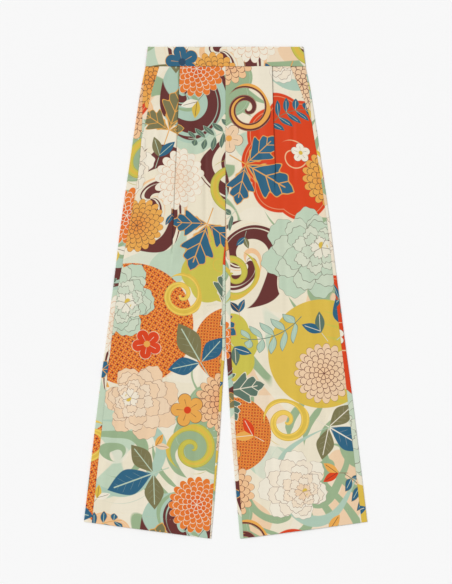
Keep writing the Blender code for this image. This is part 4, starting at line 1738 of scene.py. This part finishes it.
@dataclass(frozen=True)
class SewingThread:
    """Finish of the hem's thread: pale, twisted, with a soft gleam."""

    name: str = "pale_thread"
    mottle: float = 180.0       # scale of the shade changes
    twist: float = 900.0        # scale of the twist
    bump: float = 0.00005
    bump_strength: float = 0.5
    roughness: float = 0.5
    sheen: float = 0.2

    def make(self) -> bpy.types.Material:
        """Make the material: a fine slanted wave for the twist, and slow shade changes."""
        material, tree, shader = new_material(self.name)
        place = add_node(tree, "TexCoord").outputs["Object"]
        mottled = add_noise(tree, place, self.mottle)
        wave = add_node(tree, "TexWave", {"Vector": place, "Scale": self.twist},
                        wave_type="BANDS", bands_direction="DIAGONAL").outputs["Fac"]
        feed(tree, shader, {
            "Base Color": mottled.mix(Dye.CREAM.linear(), Dye.MUSTARD.linear()),
            "Normal": add_bump(tree, wave, self.bump_strength, self.bump),
            "Roughness": self.roughness,
            "Sheen Weight": self.sheen,
        })
        return material


# ------------------------------------------------------------------ pieces
def new_object(name: str, data: bpy.types.ID) -> bpy.types.Object:
    """Make an object and put it in the scene."""
    made = bpy.data.objects.new(name, data)
    bpy.context.scene.collection.objects.link(made)
    return made


@dataclass
class ClothPiece:
    """One sewn piece as a thin shell that stands in for a solid."""

    node: str
    slot: str
    grid: ClothGrid
    cut: tuple[float, float, float]
    rests_on: tuple[str, ...]
    thickness: float = SHELL

    @property
    def name(self) -> str:
        """Name of the piece in the scene."""
        return self.node + "_cloth"

    def make(self, pattern: FloralPrint, face: bpy.types.Material,
             reverse: bpy.types.Material) -> bpy.types.Object:
        """Build the shell, print it, and put it in the frame.

        The grid's quads are wound so that their normals point out of the garment; half
        the thickness is added to each side of them.

        Args:
            pattern: the printed design.
            face: finish of the outside.
            reverse: finish of the inside.

        Returns:
            The piece.
        """
        quads = grid_quads(*self.grid.points.shape[:2])
        own = grid_normals(self.grid.points)
        if float((own * self.grid.outward).sum()) < 0.0:
            quads = quads[:, ::-1]
        mesh = bpy.data.meshes.new(self.name)
        flat = self.grid.points.reshape(-1, 3)
        mesh.from_pydata(flat.tolist(), [], quads.tolist())
        pattern.lay_on(mesh, self.grid.place.reshape(-1, 2)[quads])
        # painted shade of the seams and the pleats' nooks, a number at each point
        write_attribute(mesh, "painted_shade", "FLOAT", "POINT", self.grid.painted_shade.reshape(-1))
        mesh.materials.append(face)
        mesh.materials.append(reverse)
        mesh.shade_smooth()
        piece = new_object(self.name, mesh)
        wall = piece.modifiers.new("cloth", "SOLIDIFY")
        wall.thickness = self.thickness * MM
        wall.offset = 0.0
        wall.use_even_offset = True
        wall.material_offset = 1
        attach(piece, ROOT)
        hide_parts(self.node)
        log.info("%s: %d quads, crown %.1f mm", self.name, len(quads), flat[:, 2].max() / MM)
        return piece

    def declare(self, piece: bpy.types.Object, with_pieces: Sequence[bpy.types.Object]) -> None:
        """Take the piece and the pieces made with it; nothing is done with them."""


@dataclass
class HemStitching:
    """Small stitches on the upper face of both legs, along the top of the hem.

    Attributes:
        name: its name.
        pitch: distance from one stitch to the next.
        length: length of a stitch.
        radius: radius of the thread.
        tip: share of the radius that is left at a stitch's ends.
        dip: how deep the ends dive into the cloth, in radii.
        around: corners of a stitch's rings.
        rings: rings between a stitch's two ends.
    """

    name: str = "hem_stitches"
    pitch: float = 5.2
    length: float = 2.3
    radius: float = 0.2
    tip: float = 0.08
    dip: float = 0.62
    around: int = 6
    rings: int = 5

    def line(self, grid: ClothGrid, drops: np.ndarray) -> tuple[np.ndarray, np.ndarray]:
        """Find the stitches' middles along one panel.

        Args:
            grid: the panel.
            drops: drops of its rows, without the turned hem.

        Returns:
            The middle and the direction of each stitch, evenly spaced along the row that
            lies the hem's allowance above the edge, where it is on the upper layer.
        """
        row = int(np.abs(drops - STITCH_LINE).argmin())
        path = grid.points[row] + grid.outward[row] * (SHELL / 2.0 * MM)
        path = path[path[:, 2] > 0.6 * LIE * MM]
        steps = np.linalg.norm(np.diff(path, axis=0), axis=1)
        lengths = np.concatenate([[0.0], np.cumsum(steps)])
        stops = np.arange(self.pitch / 2.0, lengths[-1] / MM, self.pitch) * MM
        middle, ahead = (
            np.stack([np.interp(place, lengths, axis) for axis in path.T], axis=1)
            for place in (stops, stops + 0.8 * MM))
        return middle, unit(ahead - middle)

    def make(self, panels: Sequence[tuple[ClothGrid, np.ndarray]],
             thread: bpy.types.Material) -> bpy.types.Object:
        """Build all stitches as one mesh.

        Each is a spindle along its way: the radius is the root of a half sine of the share
        of its length, its middle line a low arch that dives into the cloth at both ends.

        Args:
            panels: grid and row drops of each panel that carries stitches.
            thread: the finish.

        Returns:
            The piece.
        """
        found = [self.line(grid, drops) for grid, drops in panels]
        middle = np.concatenate([m for m, _ in found if len(m)])
        way = np.concatenate([w for _, w in found if len(w)])
        up = np.array([0.0, 0.0, 1.0])
        across = unit(np.cross(way, up))
        share = np.linspace(0.0, 1.0, self.rings + 2)
        girth = self.radius * MM * np.sqrt(np.sin(math.pi * share)).clip(self.tip)
        arch = (np.sin(math.pi * share) - self.dip) * self.radius * MM
        spin = np.linspace(0.0, 2.0 * math.pi, self.around, endpoint=False)
        centre = (middle[:, None] + way[:, None] * ((share - 0.5) * self.length * MM)[:, None]
                  + up * arch[:, None])
        ring = (np.cos(spin)[None, :, None] * across[:, None]
                + np.sin(spin)[None, :, None] * up)
        points = centre[:, :, None] + ring[:, None] * girth[None, :, None, None]
        count, rings = points.shape[:2]
        index = np.arange(count * rings * self.around).reshape(count, rings, self.around)
        nxt = np.roll(index, -1, axis=2)
        sides = np.stack([index[:, :-1], nxt[:, :-1], nxt[:, 1:], index[:, 1:]], axis=-1)
        faces = sides.reshape(-1, 4).tolist()
        faces += index[:, 0, ::-1].tolist() + index[:, -1].tolist()
        mesh = bpy.data.meshes.new(self.name)
        mesh.from_pydata(points.reshape(-1, 3).tolist(), [], faces)
        mesh.materials.append(thread)
        mesh.shade_smooth()
        piece = new_object(self.name, mesh)
        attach(piece, ROOT)
        log.info("%s: %d stitches", self.name, count)
        return piece


@dataclass
class Trousers:
    """The sewn pieces of the trousers, and how each is cut and laid.

    Attributes:
        cuts: where each piece is cut from the printed cloth, and its width, length and
            area as it is cut, in metres.
        pieces: the pieces, by the name of the solid that each stands in for.
    """

    cuts: dict[str, tuple[PrintWindow, tuple[float, float, float]]] = field(
        default_factory=lambda: {
            "right_front": (PrintWindow(0.0, 0.220), (0.300, 1.092, 0.2604)),
            "left_front": (PrintWindow(0.0, 0.420), (0.306, 1.092, 0.2577)),
            "right_back": (PrintWindow(0.180, 0.550), (0.308, 1.092, 0.2900)),
            "left_back": (PrintWindow(-0.120, 0.830), (0.308, 1.092, 0.2868)),
            "right_pocket_facing": (PrintWindow(0.400, 0.200), (0.051, 0.169, 0.0043)),
            "left_pocket_facing": (PrintWindow(0.050, 0.750), (0.059, 0.125, 0.0034)),
            "front_waistband": (PrintWindow(0.480, 0.870), (0.362, 0.087, 0.0311)),
            "back_waistband": (PrintWindow(0.400, 0.300), (0.361, 0.087, 0.0311)),
        })
    pieces: dict[str, ClothPiece] = field(default_factory=dict)

    def sew(self, node: str, slot: str, panel: Callable[[PrintWindow], Panel], below: str,
            thickness: float = SHELL) -> None:
        """Add one piece.

        Args:
            node: the solid that it stands in for.
            slot: name of a material slot for it, kept on the piece but not used.
            panel: what makes its panel from its place on the printed cloth.
            below: what it lies on.
            thickness: of its cloth, in millimetres.
        """
        window, cut = self.cuts[node]
        grid = panel(window).grid()
        self.pieces[node] = ClothPiece(node, slot, grid, cut, (below,), thickness)

    def make(self) -> None:
        """Build every piece, its finishes and its stitching."""
        pattern = FloralPrint()
        for layer in pattern.layers:
            log.info("print layer %s: crowding %.2f mm", layer.name, layer.crowding)
        weave = weave_group()
        face = PrintedCloth("printed_face", fade=0.0).make(pattern.group, weave)
        reverse = PrintedCloth("printed_reverse", fade=0.5).make(pattern.group, weave)
        drops = leg_drops()
        for side in Side:
            shape, word = LegShape(side, drops, CREASES[side]), side.word
            back = word + "_back"
            self.sew(back, "leg_cloth", partial(BackPanel, shape), FLOOR)
            self.sew(word + "_front", "leg_cloth", partial(FrontPanel, shape),
                     back + "_cloth")
            self.sew(word + "_pocket_facing", "facing_cloth", partial(FacingPanel, side),
                     back + "_cloth")
        self.sew("back_waistband", "waistband_cloth", partial(BandPanel, False), FLOOR,
                 BAND_LAYER)
        self.sew("front_waistband", "waistband_cloth", partial(BandPanel, True),
                 "back_waistband_cloth", BAND_LAYER)
        made = {node: piece.make(pattern, face, reverse)
                for node, piece in self.pieces.items()}
        panels = [(self.pieces[node].grid, drops) for node in
                  ("right_front", "left_front", "right_back", "left_back")]
        stitches = HemStitching().make(panels, SewingThread().make())
        for node, piece in self.pieces.items():
            piece.declare(made[node], [stitches] if node == "right_front" else [])


# ------------------------------------------------------------------ studio
@dataclass(frozen=True)
class Lamp:
    """A far soft light, so that the floor is lit evenly.

    Attributes:
        name: its name.
        way: where it hangs, as a direction from the middle of the floor.
        spread: angle that it fills, in degrees; the wider, the softer its shadows.
        strength: power that it sends, in watts a square metre.
    """

    name: str
    way: tuple[float, float, float]
    spread: float
    strength: float

    def hang(self) -> None:
        """Hang the light, turned to the middle of the floor."""
        lamp = bpy.data.lights.new(self.name, "SUN")
        lamp.angle, lamp.energy = math.radians(self.spread), self.strength
        holder = new_object(self.name, lamp)
        holder.location = self.way
        up = np.array(self.way) / np.linalg.norm(self.way)
        holder.rotation_euler = (math.acos(up[2]), 0.0,
                                 math.atan2(up[1], up[0]) + math.pi / 2.0)


@dataclass
class Studio:
    """A plain pale floor, soft light from above, and the camera over the trousers.

    Attributes:
        floor_size: side of the floor, in metres.
        floor_drop: how far it lies below the trousers' underside, in metres.
        floor_shade: its brightness.
        floor_grain: share of that its darker spots have.
        sky: strength of the light from all round.
        backdrop: strength that the camera sees past the floor.
        lamps: the lights.
        camera: where the camera stands, in metres.
        lens: its focal length, in millimetres on a frame 36 mm wide.
    """

    floor_size: float = 14.0
    floor_drop: float = 0.00005
    floor_shade: float = 0.90
    floor_grain: float = 0.99
    sky: float = 0.50
    backdrop: float = 0.93
    lamps: tuple[Lamp, ...] = (Lamp("key_light", (-2.3, 1.7, 3.7), 26.0, 1.73),
                               Lamp("fill_light", (2.4, -1.4, 4.0), 50.0, 0.42))
    camera: tuple[float, float, float] = (0.001, 0.0014, 3.1025)
    lens: float = 85.0

    def lay_floor(self) -> None:
        """Lay the floor, a square of a few large quads with a faint grain."""
        half = self.floor_size / 2.0
        ticks = np.linspace(-half, half, 5)
        x, y = np.meshgrid(ticks, ticks)
        points = np.stack([x, y, np.full_like(x, -self.floor_drop)], axis=-1)
        mesh = bpy.data.meshes.new(FLOOR)
        mesh.from_pydata(points.reshape(-1, 3).tolist(), [], grid_quads(*x.shape).tolist())
        material, tree, shader = new_material("pale_floor")
        light = (self.floor_shade,) * 3 + (1.0,)
        dark = (self.floor_shade * self.floor_grain,) * 3 + (1.0,)
        spots = add_noise(tree, add_node(tree, "TexCoord").outputs["Object"], scale=3.0)
        feed(tree, shader, {"Base Color": spots.mix(dark, light), "Roughness": 0.9,
                            "Specular IOR Level": 0.1})
        mesh.materials.append(material)
        floor = new_object(FLOOR, mesh)

    def light_sky(self) -> None:
        """Light the scene from all round, and give the camera its own backdrop."""
        world = bpy.data.worlds.new("soft_sky")
        world.use_nodes = True
        tree = world.node_tree
        seen = Field(tree, add_node(tree, "LightPath").outputs["Is Camera Ray"])
        feed(tree, tree.nodes["Background"], {
            "Color": (1.0, 1.0, 1.0, 1.0),
            "Strength": seen * (self.backdrop - self.sky) + self.sky,
        })
        bpy.context.scene.world = world

    def set_camera(self) -> None:
        """Set the camera over the trousers, looking straight down."""
        camera = bpy.data.cameras.new("studio_camera")
        camera.lens, camera.sensor_width = self.lens, 36.0
        holder = new_object("studio_camera", camera)
        holder.location = self.camera
        bpy.context.scene.camera = holder

    def make(self) -> None:
        """Lay the floor, light the scene and set the camera."""
        self.lay_floor()
        self.light_sky()
        for lamp in self.lamps:
            lamp.hang()
        self.set_camera()
        bpy.context.scene.view_settings.view_transform = "Standard"
        log.info("studio: camera %.3f m above the floor", self.camera[2])


def main() -> None:
    """Build the studio and the trousers."""
    logging.basicConfig(level=logging.INFO, format="%(name)s: %(message)s")
    Studio().make()
    Trousers().make()


if __name__ == "__main__":
    main()
